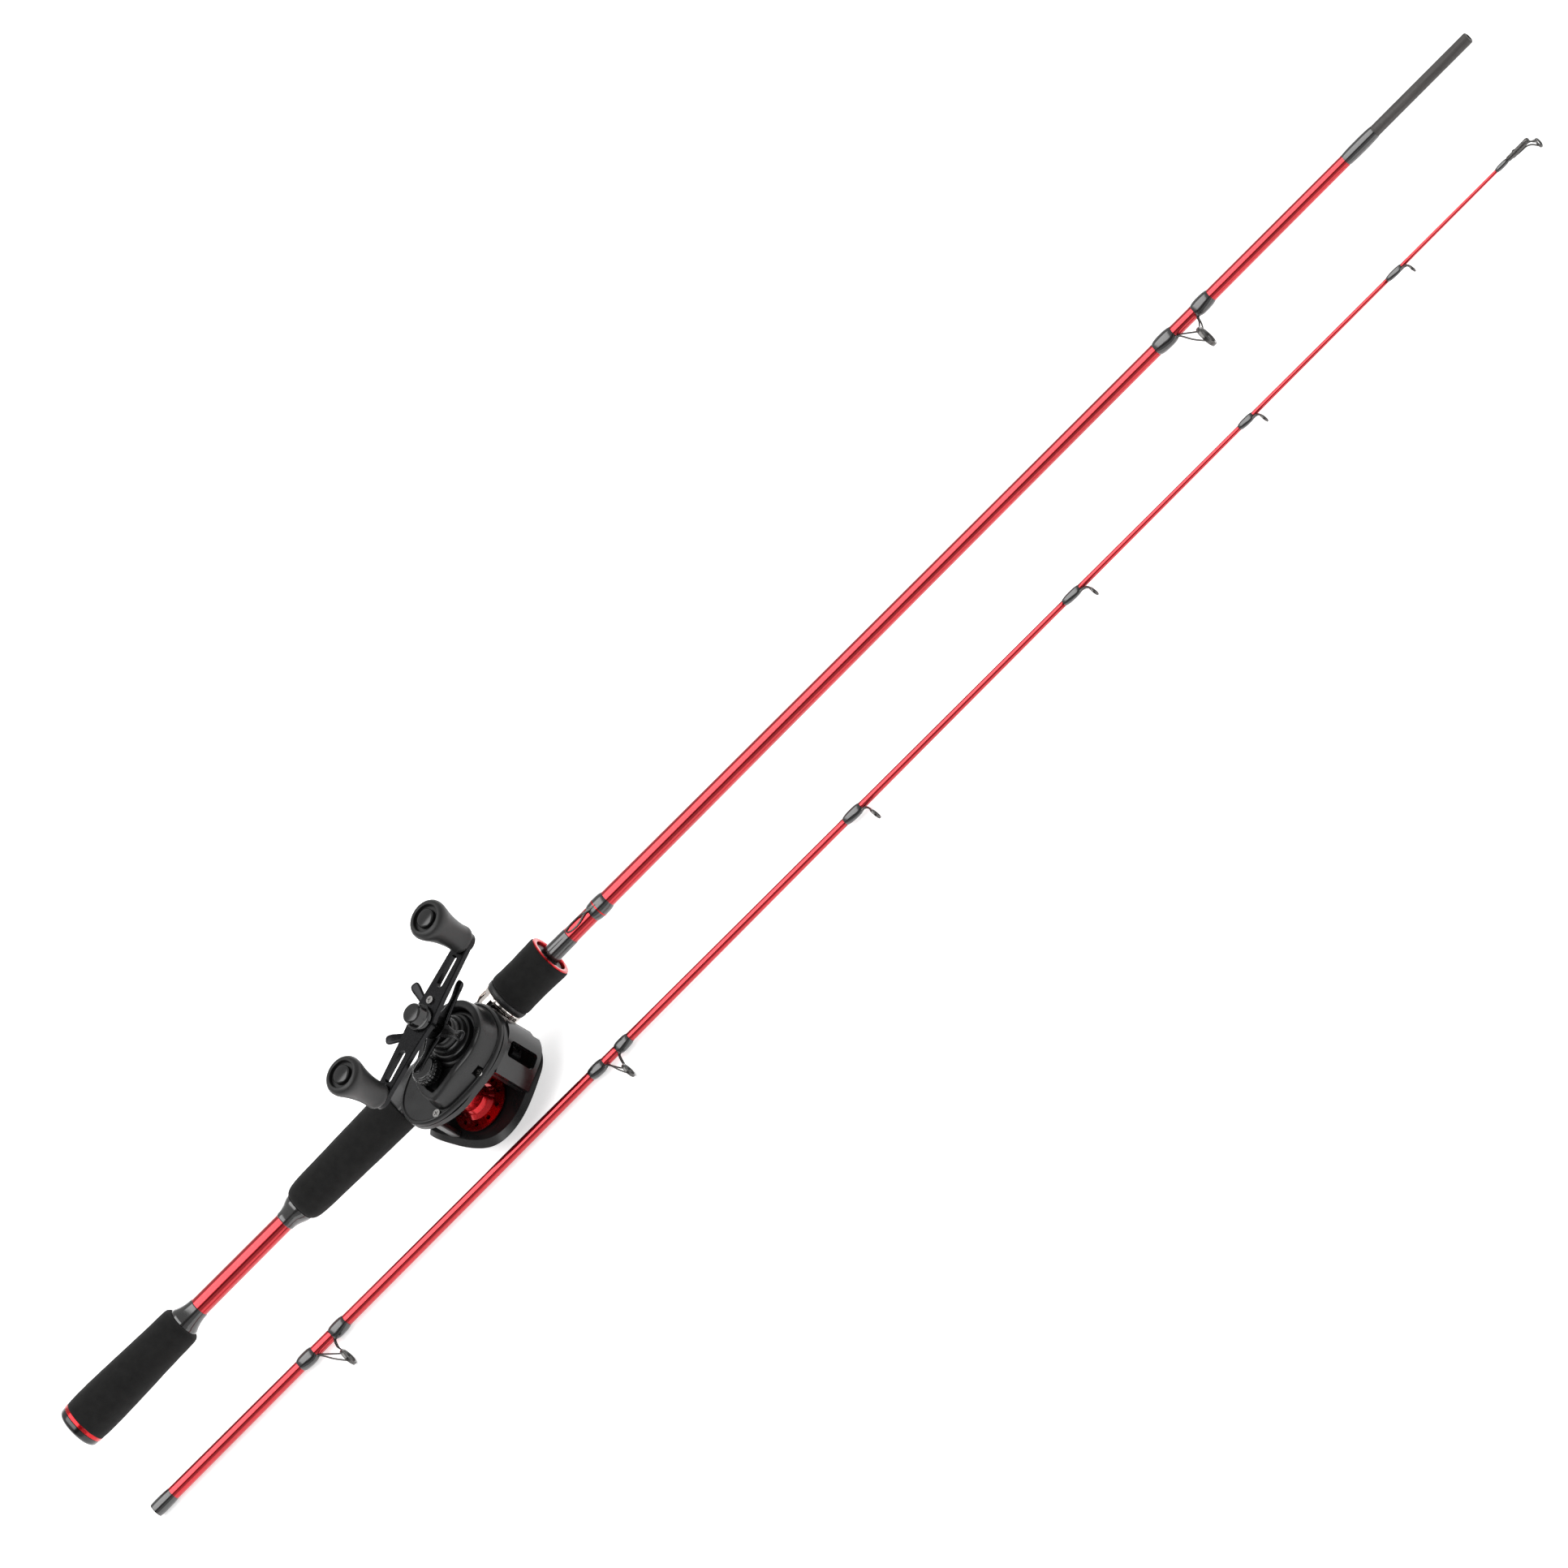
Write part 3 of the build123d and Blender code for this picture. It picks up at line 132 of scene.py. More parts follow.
def smooth_points(points, steps):
    """Catmull-Rom curve through tuples of numbers."""
    padded = [points[0], *points, points[-1]]
    found = []
    for p0, p1, p2, p3 in zip(padded, padded[1:], padded[2:], padded[3:]):
        for k in range(steps):
            found.append(tuple(between(*values, k / steps) for values in zip(p0, p1, p2, p3)))
    found.append(tuple(points[-1]))
    return found


def skin(rows, count):
    """Faces between rows of count points each, every row closed on itself."""
    faces = []
    for row in range(rows - 1):
        a, b = row * count, (row + 1) * count
        for k in range(count):
            j = (k + 1) % count
            faces.append((a + k, a + j, b + j, b + k))
    return faces


def capped_skin(rows, count):
    """The same faces, with both ends closed."""
    first, last = range(count), range((rows - 1) * count, rows * count)
    return [*skin(rows, count), tuple(reversed(first)), tuple(last)]


def wire(points, radius, steps=8):
    """Round wire of a radius in mm, along a smooth curve through points in metres."""
    path = [Vector(p) for p in smooth_points([tuple(p) for p in points], steps)]
    verts = []
    side = None
    for i, p in enumerate(path):
        direction = (path[min(i + 1, len(path) - 1)] - path[max(i - 1, 0)]).normalized()
        if side is None:
            side, _ = frame_about(direction)
        side = (side - direction * side.dot(direction)).normalized()
        other = direction.cross(side)
        for k in range(WIRE_SIDES):
            angle = 2 * math.pi * k / WIRE_SIDES
            verts.append(p + (side * math.cos(angle) + other * math.sin(angle)) * (radius * MM))
    return verts, capped_skin(len(path), WIRE_SIDES)


def make(name, meshes, material, body, nodes=(), crease=OWN_CREASE):
    """One object out of several meshes, riding on a body and standing for its CAD nodes."""
    verts, faces = [], []
    for part_verts, part_faces in meshes:
        start = len(verts)
        verts.extend(part_verts)
        faces.extend(tuple(i + start for i in face) for face in part_faces)
    mesh = bpy.data.meshes.new(name)
    mesh.from_pydata([tuple(v) for v in verts], [], faces)
    mesh.update()
    mesh.materials.append(material)
    obj = bpy.data.objects.new(name, mesh)
    bpy.context.scene.collection.objects.link(obj)
    smooth(obj, crease)
    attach(obj, body)
    if nodes:
        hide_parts(*nodes)
    return obj


def smooth(obj, crease):
    """Smooth shading that leaves edges sharper than the crease angle sharp."""
    for polygon in obj.data.polygons:
        polygon.use_smooth = True
    obj.data.set_sharp_from_angle(angle=math.radians(crease))


# --- Materials ----------------------------------------------------------------------------------
class Recipe:
    """A material being put together, with its Principled shader and short calls for usual nodes."""

    def __init__(self, name):
        self.material = bpy.data.materials.new(name)
        self.material.use_nodes = True
        self.tree = self.material.node_tree
        self.shader = self.tree.nodes["Principled BSDF"]
        self.place = self.tree.nodes.new("ShaderNodeTexCoord").outputs["Object"]

    def set(self, **values):
        for name, value in values.items():
            self.shader.inputs[name.replace("_", " ")].default_value = value

    def node(self, kind, **values):
        made = self.tree.nodes.new(kind)
        for name, value in values.items():
            if name in made.inputs:
                made.inputs[name].default_value = value
            else:
                setattr(made, name, value)
        return made

    def link(self, a, b):
        self.tree.links.new(a, b)

    def noise(self, scale, detail, stretch=None):
        """Noise over the object, scale in cells per metre."""
        made = self.node("ShaderNodeTexNoise", Scale=scale, Detail=detail)
        place = self.place
        if stretch:
            mapping = self.node("ShaderNodeMapping")
            mapping.inputs["Scale"].default_value = stretch
            self.link(self.place, mapping.inputs["Vector"])
            place = mapping.outputs["Vector"]
        self.link(place, made.inputs["Vector"])
        return made.outputs["Fac"]

    def ramp(self, source, low, high, at=(0.3, 0.7)):
        """Colour or grey between two values as source goes from at[0] to at[1]."""
        made = self.node("ShaderNodeValToRGB")
        for element, value, where in zip(made.color_ramp.elements, (low, high), at):
            element.position = where
            element.color = (*value, 1) if isinstance(value, tuple) else (value, value, value, 1)
        self.link(source, made.inputs["Fac"])
        return made.outputs["Color"]

    def bump(self, height, depth, strength):
        """Bump of the given depth in mm."""
        made = self.node("ShaderNodeBump", Strength=strength, Distance=depth * MM)
        self.link(height, made.inputs["Height"])
        self.to("Normal", made.outputs["Normal"])

    def to(self, socket, output):
        self.link(output, self.shader.inputs[socket])


def candy_paint():
    """Metallic red under clear coat: fine flake, and colour that drifts slightly along the rod."""
    r = Recipe("candy_red_paint")
    r.set(Metallic=0.85, Roughness=0.2, Coat_Weight=0.8, Coat_Roughness=0.03, Coat_IOR=1.45)
    drift = r.noise(30, 2)
    r.to("Base Color", r.ramp(drift, (0.40, 0.008, 0.014), (0.48, 0.012, 0.020)))
    flake = r.noise(9000, 1)
    r.to("Roughness", r.ramp(flake, 0.12, 0.2))
    r.bump(flake, 0.012, 0.2)
    return r.material


def thread_wrap():
    """Black thread bound round the blank, sealed in glossy resin."""
    r = Recipe("thread_wrap_resin")
    r.set(Roughness=0.22, Coat_Weight=1.0, Coat_Roughness=0.02, Specular_IOR_Level=0.5)
    wave = r.node("ShaderNodeTexWave", bands_direction="Y", Scale=1400.0, Distortion=0.6, Detail=1.0)
    r.link(r.place, wave.inputs["Vector"])
    threads = wave.outputs["Fac"]
    r.to("Base Color", r.ramp(threads, (0.006, 0.006, 0.006), (0.013, 0.013, 0.0125), (0.0, 1.0)))
    r.bump(threads, 0.02, 0.25)
    return r.material


def eva_foam():
    """Fine closed-cell foam: nearly black, with tiny pores and a soft sheen."""
    r = Recipe("eva_foam")
    r.set(Roughness=0.9, Sheen_Weight=0.06, Sheen_Roughness=0.6, Specular_IOR_Level=0.12)
    cloud = r.noise(220, 4)
    pores = r.node("ShaderNodeTexVoronoi", Scale=2600.0)
    r.link(r.place, pores.inputs["Vector"])
    r.to("Base Color", r.ramp(cloud, (0.0065, 0.0065, 0.0064), (0.0105, 0.0105, 0.0102)))
    r.bump(pores.outputs["Distance"], 0.12, 0.5)
    return r.material


def bare_carbon():
    """Sanded carbon tube: grey-brown, with faint grinding rings and lengthwise fibres."""
    r = Recipe("sanded_carbon")
    r.set(Roughness=0.55, Specular_IOR_Level=0.4)
    fibres = r.noise(900, 4, (1, 0.04, 1))
    rings = r.noise(2200, 2, (0.05, 1, 0.05))
    r.to("Base Color", r.ramp(fibres, (0.038, 0.035, 0.033), (0.066, 0.060, 0.057)))
    r.to("Roughness", r.ramp(rings, 0.42, 0.62))
    r.bump(rings, 0.03, 0.3)
    return r.material


def moulded(name, colour, rough, grain=1600, depth=0.02, coat=0.0):
    """Moulded plastic with a fine even grain and slight unevenness of gloss."""
    r = Recipe(name)
    r.set(Specular_IOR_Level=0.4, Coat_Weight=coat, Coat_Roughness=0.12)
    cloud = r.noise(90, 3)
    fine = r.noise(grain, 2)
    low = tuple(c * 0.85 for c in colour)
    high = tuple(c * 1.2 for c in colour)
    r.to("Base Color", r.ramp(cloud, low, high))
    r.to("Roughness", r.ramp(cloud, rough - 0.05, rough + 0.06))
    r.bump(fine, depth, 0.35)
    return r.material


def metal(name, colour, rough):
    """Metal with fine polishing marks."""
    r = Recipe(name)
    r.set(Metallic=1.0)
    marks = r.noise(1500, 3)
    low = tuple(c * 0.9 for c in colour)
    r.to("Base Color", r.ramp(marks, low, colour))
    r.to("Roughness", r.ramp(marks, max(0.02, rough - 0.05), rough + 0.06))
    r.bump(marks, 0.006, 0.2)
    return r.material


def anodised(name, colour, rough):
    """Dyed anodised aluminium, slightly uneven in colour and gloss."""
    r = Recipe(name)
    r.set(Metallic=0.9, Coat_Weight=0.4, Coat_Roughness=0.08)
    marks = r.noise(700, 3)
    low = tuple(c * 0.8 for c in colour)
    r.to("Base Color", r.ramp(marks, low, colour))
    r.to("Roughness", r.ramp(marks, rough - 0.05, rough + 0.08))
    r.bump(marks, 0.008, 0.2)
    return r.material


PAINT = candy_paint()
WRAP = thread_wrap()
FOAM = eva_foam()
CARBON = bare_carbon()
BODY = moulded("satin_black_body", (0.0065, 0.0065, 0.0067), 0.3)
GLOSS = moulded("semi_gloss_black", (0.005, 0.005, 0.0052), 0.18, coat=0.3)
SEAT = moulded("textured_seat", (0.012, 0.012, 0.0125), 0.4, 1100, 0.04)
KNOB = moulded("soft_touch_knob", (0.009, 0.009, 0.009), 0.42, 2200, 0.03)
BLACK_METAL = metal("black_anodised_metal", (0.022, 0.022, 0.023), 0.27)
GUNMETAL = metal("gunmetal_plating", (0.10, 0.097, 0.094), 0.25)
CERAMIC = moulded("dark_ceramic", (0.045, 0.044, 0.042), 0.12, 3000, 0.003, coat=0.6)
CHROME = metal("chrome_plating", (0.86, 0.80, 0.76), 0.08)
STEEL = metal("machined_steel", (0.42, 0.41, 0.40), 0.2)
BRASS = metal("gear_brass", (0.72, 0.50, 0.20), 0.28)
FIBRE = moulded("drag_fibre", (0.09, 0.07, 0.05), 0.8)
RED = anodised("red_anodised", (0.55, 0.005, 0.010), 0.22)

SLOT_MATERIAL = {
    "blank_paint": PAINT, "bare_carbon": CARBON, "foam_grip": FOAM, "black_gloss": WRAP,
    "red_anodised": RED, "seat_plastic": SEAT, "guide_frame": GUNMETAL, "guide_insert": CERAMIC,
    "chrome_hood": CHROME, "nut_plastic": SEAT, "reel_body": BODY, "reel_gloss": GLOSS,
    "reel_metal": BLACK_METAL, "bright_steel": STEEL, "brass_gear": BRASS, "drag_fibre": FIBRE,
    "knob_rubber": KNOB, "magnet": STEEL,
}


def dress_frame():
    """Gives every carried-over CAD node its finish."""
    for row in frame["record"]["subparts"]:
        obj = frame["nodes"][row["node"]]
        obj.data.materials.clear()
        obj.data.materials.append(SLOT_MATERIAL[row["material_slot"]])
        smooth(obj, CAD_CREASE)


BODY_OF = {node: body for body, nodes in frame["record"]["behaviour"]["bodies"].items() for node in nodes}
SLOT_OF = {row["node"]: row["material_slot"] for row in frame["record"]["subparts"]}


def stand_in(node, meshes, material=None, crease=OWN_CREASE):
    """New mesh for one CAD node: same body, and the node's slot's material unless another is given."""
    slot = SLOT_OF[node]
    material = material or SLOT_MATERIAL[slot]
    return make(node + "_visual", meshes, material, BODY_OF[node], (node,), crease)


def turned(node, profile, material=None):
    """A butt section piece turned about the blank."""
    stand_in(node, [lathe(profile, BUTT_AT)], material)


# --- Rod ----------------------------------------------------------------------------------------
FOAM_LUMPS = 250.0          # per metre
FOAM_GRAIN = 1500.0         # per metre
LUMP_DEPTH = 0.07           # mm
GRAIN_DEPTH = 0.03          # mm
FOAM_STEP = 0.7             # mm between a grip's rings
WRAP_SEGMENTS = 72
WRAP_ROWS = 26
WRAP_GAP = 0.04             # mm between a wrap's thin ends and the blank
RIDGE_HEIGHT = 1.3          # of a guide's foot under a wrap, as a share of the wrap's bulge
RIDGE_SPREAD = 0.55         # radians round the blank
FOOT_RISE = 0.45            # mm from the blank's skin to the middle of a guide's foot
LEAN_DOUBLE = math.radians(-3)      # of a double-foot guide's ring
LEAN_SINGLE = math.radians(-8)
TIP_TOP_LEAN = math.radians(8)
KEEPER_SHIFT = 1.1          # mm, off the blank's crown


def radius_at(taper, y):
    """Blank radius at y, by straight lines between the taper's points."""
    for (y0, r0), (y1, r1) in zip(taper, taper[1:]):
        if y <= y1:
            return r0 + (r1 - r0) * max(0.0, y - y0) / (y1 - y0)
    return taper[-1][1]


def blank(node, origin, taper, bore):
    """Painted tube, its paint rounding over at the front end."""
    start, end = taper[0], taper[-1]
    profile = [(start[0], bore), (start[0], start[1] - 0.15), (start[0] + 0.15, start[1]), *taper[1:-1],
               (end[0] - 0.5, end[1]), (end[0] - 0.1, end[1] - 0.12), (end[0], end[1] - 0.35),
               (end[0], bore)]
    stand_in(node, [lathe(profile, origin)])


def foam(node, profile, bore):
    """Foam grip: a smooth turned shape whose skin wanders slightly, as cut foam does."""
    length = profile[-1][0] - profile[0][0]
    steps = max(2, round(length / FOAM_STEP / len(profile)))
    outline = smooth_points(profile, steps)
    verts, faces = lathe([(outline[0][0], bore), *outline, (outline[-1][0], bore)], BUTT_AT, segments=120)
    settled = []
    for v in verts:
        out = Vector((v.x - BUTT_AT.x, 0, v.z - BUTT_AT.z))
        if out.length > (bore + 0.5) * MM:
            wander = noise.noise(v * FOAM_LUMPS) * LUMP_DEPTH + noise.noise(v * FOAM_GRAIN) * GRAIN_DEPTH
            v = v + out.normalized() * (wander * MM)
        settled.append(v)
    piece = stand_in(node, [(settled, faces)])


def wrap(origin, taper, y0, y1, bulge, foot_at=None):
    """Resin-coated thread wrap; a guide's foot under it lifts a ridge on the +X side towards foot_at."""
    verts = []
    for i in range(WRAP_ROWS + 1):
        s = i / WRAP_ROWS
        y = y0 + (y1 - y0) * s
        crown = (1 - abs(2 * s - 1) ** 2.6) ** 0.75
        for k in range(WRAP_SEGMENTS):
            angle = 2 * math.pi * k / WRAP_SEGMENTS
            out = Vector((math.cos(angle), 0, math.sin(angle)))
            lump = 0.0
            if foot_at is not None:
                toward = 1 - abs(s - foot_at)
                spread = math.atan2(math.sin(angle), math.cos(angle))
                lump = RIDGE_HEIGHT * bulge * toward * math.exp(-(spread / RIDGE_SPREAD) ** 2)
            radius = radius_at(taper, y) + WRAP_GAP + (bulge + lump) * crown
            verts.append(origin + out * (radius * MM) + ALONG * (y * MM))
    last = WRAP_ROWS * WRAP_SEGMENTS
    ends = [tuple(range(WRAP_SEGMENTS)), tuple(reversed(range(last, last + WRAP_SEGMENTS)))]
    return verts, [*skin(WRAP_ROWS + 1, WRAP_SEGMENTS), *ends]


def ring_profile(radius, band, half_width, corner=0.35):
    """Rounded rectangular section, from radius - band to radius, as a closed list of (along, radius)."""
    c = corner * band
    inner = radius - band
    return [(-half_width, inner + c), (-half_width, radius - c), (-half_width + 0.3 * c, radius - 0.3 * c),
            (-half_width + c, radius), (half_width - c, radius), (half_width - 0.3 * c, radius - 0.3 * c),
            (half_width, radius - c), (half_width, inner + c), (half_width - c, inner),
            (-half_width + c, inner)]


def bead_profile(radius, wall, half_width, steps=10):
    """Ceramic insert's section: flat outside, round inside."""
    inner = [(half_width * math.cos(math.pi * i / steps), radius - wall * math.sin(math.pi * i / steps))
             for i in range(steps + 1)]
    return [(-half_width, radius + 0.02), (half_width, radius + 0.02), *inner]


def leaning(origin, ring_y, height, lean):
    """A guide ring's axis, the way up its face, and its centre."""
    axis = Vector((math.sin(lean), math.cos(lean), 0))
    return axis, Vector((math.cos(lean), -math.sin(lean), 0)), origin + Vector((height, ring_y, 0)) * MM


def guide_parts(origin, taper, ring_y, height, ring_r, rear_foot, front_foot, wire_r):
    """Wires, feet and metal ring of one guide, and its ceramic insert."""
    lean = LEAN_DOUBLE if front_foot else LEAN_SINGLE
    axis, ring_up, centre = leaning(origin, ring_y, height, lean)
    band, half_width = 0.12 * ring_r, 0.17 * ring_r

    def at(x, y, z):
        return origin + Vector((x, y, z)) * MM

    def on_ring(degrees):
        """Point inside the metal ring, by its angle from the ring's top."""
        a = math.radians(degrees)
        return centre + (ring_up * math.cos(a) + UP * math.sin(a)) * ((ring_r - band * 0.4) * MM)

    lathed = lathe(ring_profile(ring_r, band, half_width), centre, axis, 72)
    insert = lathe(bead_profile(ring_r - band, 0.14 * ring_r, 1.15 * half_width), centre, axis, 72)
    wires = []
    rear0, rear1 = rear_foot
    lift = radius_at(taper, rear1) + FOOT_RISE
    if front_foot:
        front0, front1 = front_foot
        front_lift = radius_at(taper, front0) + FOOT_RISE
        waist = (front_lift + height - ring_r) / 2 + 0.6
        for side in (-1, 1):
            near = on_ring(side * 104) - axis * (1.2 * MM)
            bow = at(lift + 0.42 * (height - lift), rear1 + 0.42 * (ring_y - rear1), side * 0.62 * ring_r)
            wires.append(wire([
                at(lift - 0.1, rear0 + 1.5, side * 0.3), at(lift, rear1 - 1.5, side * 0.5),
                at(lift + 0.35, rear1 + 1.2, side * 0.75), bow, near, on_ring(side * 98)], wire_r))
            wires.append(wire([
                at(front_lift - 0.1, front1 - 1.5, side * 0.3), at(front_lift, front0 + 1.2, side * 0.45),
                at(front_lift + 0.5, front0 - 0.4, side * 0.6), at(waist, front0 - 0.9, side * 0.95),
                on_ring(180 - side * 16)], wire_r * 0.9))
    else:
        foot_up = height - ring_r
        for side in (-1, 0, 1):
            bow = at(lift + 0.38 * (foot_up - lift), rear1 + 0.62 * (ring_y - rear1), side * 0.6)
            wires.append(wire([
                at(lift - 0.15, rear0 + 1.0, side * 0.25), at(lift, rear1 - 1.0, side * 0.32),
                at(lift + 0.12, rear1 + 0.8, side * 0.36), bow, on_ring(180 - side * 42)], wire_r, 10))
    return [lathed, *wires], insert


def tip_top_parts():
    """Tube over the tip, two side wires with a brace, and the last ring."""
    start, end = 999.0, 1014.0
    height, ring_y, ring_r = 7.0, 1017.5, 2.85
    axis, ring_up, centre = leaning(TIP_AT, ring_y, height, TIP_TOP_LEAN)
    shell = lathe([(start, 1.0), (start, 1.3), (start + 0.3, 1.45), (1009, 1.5), (1012.6, 1.55),
                   (1013.6, 1.3), (end, 0.8), (end, 0)], TIP_AT, segments=40)
    collar = lathe([(1003.2, 1.2), (1003.2, 1.6), (1003.6, 1.85), (1004.6, 1.85), (1005, 1.6),
                    (1005, 1.2)], TIP_AT, segments=64)
    meshes = [shell, collar, lathe(ring_profile(ring_r, 0.6, 0.5), centre, axis, 56)]
    for side in (-1, 1):
        path = [TIP_AT + Vector(p) * MM for p in (
            (0.5, start + 2.5, side * 1.45), (0.8, 1006.5, side * 1.6), (1.0, 1010.5, side * 1.75),
            (2.6, 1013.4, side * 2.2))]
        foot = centre + UP * (side * (ring_r - 0.25) * MM)
        meshes.append(wire([*path, foot - axis * (0.9 * MM), foot], 0.42))
    brace = [TIP_AT + Vector(p) * MM for p in ((1.0, 1010, 0), (1.6, 1012.6, 0), (2.9, 1015.2, 0))]
    meshes.append(wire([*brace, centre - ring_up * ((ring_r - 0.3) * MM)], 0.4))
    return meshes, lathe(bead_profile(ring_r - 0.6, 0.45, 0.62), centre, axis, 56)


def rod():
    """Blanks, grips, end fittings, wraps, guides and the hook keeper."""
    blank("butt_blank", BUTT_AT, BUTT_TAPER, 2.6)
    blank("tip_blank", TIP_AT, TIP_TAPER, 0.3)
    turned("ferrule_spigot", [
        (935, 1.7), (935, 2.4), (960.9, 2.5), (960.9, 3.2), (1029.3, 3.2), (1029.8, 2.95), (1030, 2.6),
        (1030, 1.7)])
    turned("butt_cap", [
        (0.35, 0), (0.3, 4.0), (0.12, 7.0), (0.12, 7.4), (0.6, 7.6), (0.6, 8.2), (0.12, 8.4), (0.1, 9.4),
        (0.3, 10.4), (0.8, 11.3), (1.5, 11.95), (2.4, 12.25), (3.4, 12.32), (4.5, 12.32), (4.7, 12.15),
        (4.7, 10.4), (9.4, 10.4), (9.4, 0)], GLOSS)
    turned("butt_trim_ring", [
        (4.8, 10.6), (4.8, 12.35), (5.05, 12.6), (6.75, 12.6), (7.0, 12.35), (7.0, 10.6)])
    foam("rear_grip", [
        (7.1, 12.1), (7.5, 12.5), (14, 12.75), (22, 12.7), (30, 12.5), (42, 12.1), (55, 11.6), (66, 11.25),
        (75, 11.1), (78.2, 10.7), (79.6, 9.7), (80, 8.2)], 5.42)
    turned("rear_cone", smooth_points([
        (80.05, 5.42), (80.05, 8.0), (80.5, 8.35), (81.7, 8.25), (83.4, 7.5), (86, 6.6), (89, 6.0),
        (91.6, 5.72), (92, 5.45)], 5))
    turned("mid_cone", smooth_points([
        (155.5, 5.3), (155.9, 5.6), (158.4, 5.85), (161.2, 6.7), (163.4, 7.6), (165.2, 8.15), (166.5, 8.25),
        (166.95, 8.0), (166.95, 5.4)], 5))
    foam("mid_grip", [
        (167, 7.4), (167.6, 8.9), (169.4, 10.0), (172.4, 10.7), (178, 11.15), (186, 11.35), (195, 11.55),
        (212, 12.0), (225, 12.3), (236, 12.5), (241, 12.5), (241.9, 12.1)], 5.3)
    foam("fore_grip", [
        (322.5, 11.6), (323.0, 12.2), (324.6, 12.6), (330, 12.45), (337, 12.4), (345, 12.65), (350, 12.85),
        (352.0, 12.75), (352.6, 12.3)], 11.2)
    turned("fore_trim_ring", [
        (345.2, 9.5), (345.2, 11.15), (352.65, 11.15), (352.65, 12.2), (352.9, 12.35), (353.3, 12.2),
        (353.5, 11.9), (353.5, 10.1), (353.3, 9.8), (352.6, 9.6)])
    turned("locking_nut", [
        (319.4, 9.28), (319.4, 11.7), (319.7, 12.05), (320.4, 12.2), (320.5, 12.0), (320.8, 12.0),
        (320.9, 12.3), (322.0, 12.35), (322.4, 12.1), (322.4, 10.4), (345, 10.4), (345, 9.28)])
    wraps()
    guides()
    hook_keeper()


def wraps():
    """Thread wraps of both sections, with a fine red thread ring in the keeper's wrap."""
    winding = lathe(smooth_points([
        (352.2, 4.85), (352.2, 5.05), (353.0, 5.2), (360, 5.12), (367, 5.05), (367.8, 4.95), (368, 4.78)],
        5), BUTT_AT)
    butt = [winding]
    for row in ((384.0, 395.5, 0.8), (800.7, 813.7, 0.9, 1.0), (829.0, 840.7, 0.8, 0.0),
                (940.0, 961.0, 0.42)):
        butt.append(wrap(BUTT_AT, BUTT_TAPER, *row))
    stand_in("butt_wraps", butt)
    y, r = 388.4, radius_at(BUTT_TAPER, 388.4) + 0.83
    thread = lathe([(y, r - 0.3), (y, r + 0.03), (y + 0.15, r + 0.06), (y + 0.55, r + 0.06),
                    (y + 0.7, r + 0.03), (y + 0.7, r - 0.3)], BUTT_AT)
    make("keeper_wrap_red_thread", [thread], RED, "butt_and_reel")
    tip = []
    for row in (
            (0.05, 13.0, 0.32), (107.8, 118.6, 0.85, 1.0), (131.4, 141.9, 0.8, 0.0),
            (323.4, 333.5, 0.8, 1.0), (342.8, 352.2, 0.75, 0.0), (511.6, 523.4, 0.8, 1.0),
            (673.0, 684.7, 0.7, 1.0), (802.0, 812.0, 0.65, 1.0), (910.5, 921.0, 0.6, 1.0),
            (990.5, 998.9, 0.5)):
        tip.append(wrap(TIP_AT, TIP_TAPER, *row))
    stand_in("tip_wraps", tip)


def guides():
    """Seven line guides and the tip-top."""
    metal_parts, insert = guide_parts(
        BUTT_AT, BUTT_TAPER, 827.0, 18.6, 6.4, (802.5, 813.7), (829.0, 839.0), 0.5)
    stand_in("guide_1", metal_parts)
    stand_in("guide_1_ring", [insert])
    inserts = []
    rows = (
        (132.5, 19.5, 5.25, (109.5, 118.6), (131.4, 140.2), 0.45),
        (342.2, 16.2, 4.4, (325.0, 333.5), (342.8, 350.5), 0.42),
        (527.7, 11.2, 3.45, (513.0, 523.4), None, 0.48),
        (690.0, 9.0, 3.0, (674.5, 684.7), None, 0.45),
        (816.0, 7.4, 2.75, (803.0, 812.0), None, 0.42),
        (925.0, 6.4, 2.5, (911.5, 921.0), None, 0.4),
    )
    for number, row in enumerate(rows, 2):
        metal_parts, insert = guide_parts(TIP_AT, TIP_TAPER, *row)
        stand_in(f"guide_{number}", metal_parts)
        inserts.append(insert)
    metal_parts, insert = tip_top_parts()
    stand_in("tip_top", metal_parts)
    stand_in("tip_guide_rings", [*inserts, insert])


def hook_keeper():
    """Wire eye whose two ends cross and run in under the wrap."""
    lie = radius_at(BUTT_TAPER, 376) + 0.4
    eye = [(-0.6, 390.0, -0.3), (-0.55, 385.4, 0.0), (0.35, 381.6, 0.25), (1.75, 377.2, 0.0),
           (2.0, 373.4, -0.1), (1.25, 370.0, 0.0), (0.0, 368.9, 0.1), (-1.25, 370.0, 0.0),
           (-2.0, 373.4, -0.1), (-1.75, 377.2, 0.0), (-0.35, 381.6, 0.75), (0.55, 385.4, 0.4),
           (0.6, 390.0, -0.3)]
    path = [BUTT_AT + Vector((x + KEEPER_SHIFT, y, lie + z)) * MM for x, y, z in eye]
    stand_in("hook_keeper", [wire(path, 0.45)])


# --- Reel ---------------------------------------------------------------------------------------
LOOP = 192
SPOOL_AT = Vector((0, 0, 0))
COVER_MIDDLE = (-5.0, 13.0)
SIDE_OUTLINE = [(20, 6), (17.5, -14), (7, -26.5), (-8, -27), (-20, -15), (-27, 4), (-28.2, 22), (-22.5, 37),
                (-9, 43), (5.5, 40.5), (16, 27)]
CASE_OUTLINE = [(13.6, 27), (16, 14), (16.2, -3), (13, -9), (3, -11.5), (-8, -9.5), (-17, -1), (-25, 10),
                (-27, 20), (-24.5, 30), (-17, 38), (-6, 40.8), (6, 37.5)]
SCREWS_AT = ((15.4, 19.0), (14.6, -12.0), (-17.0, -9.0))
SCREW_CLEARANCE = 2.6
ARM_TURN = math.radians(24.0)
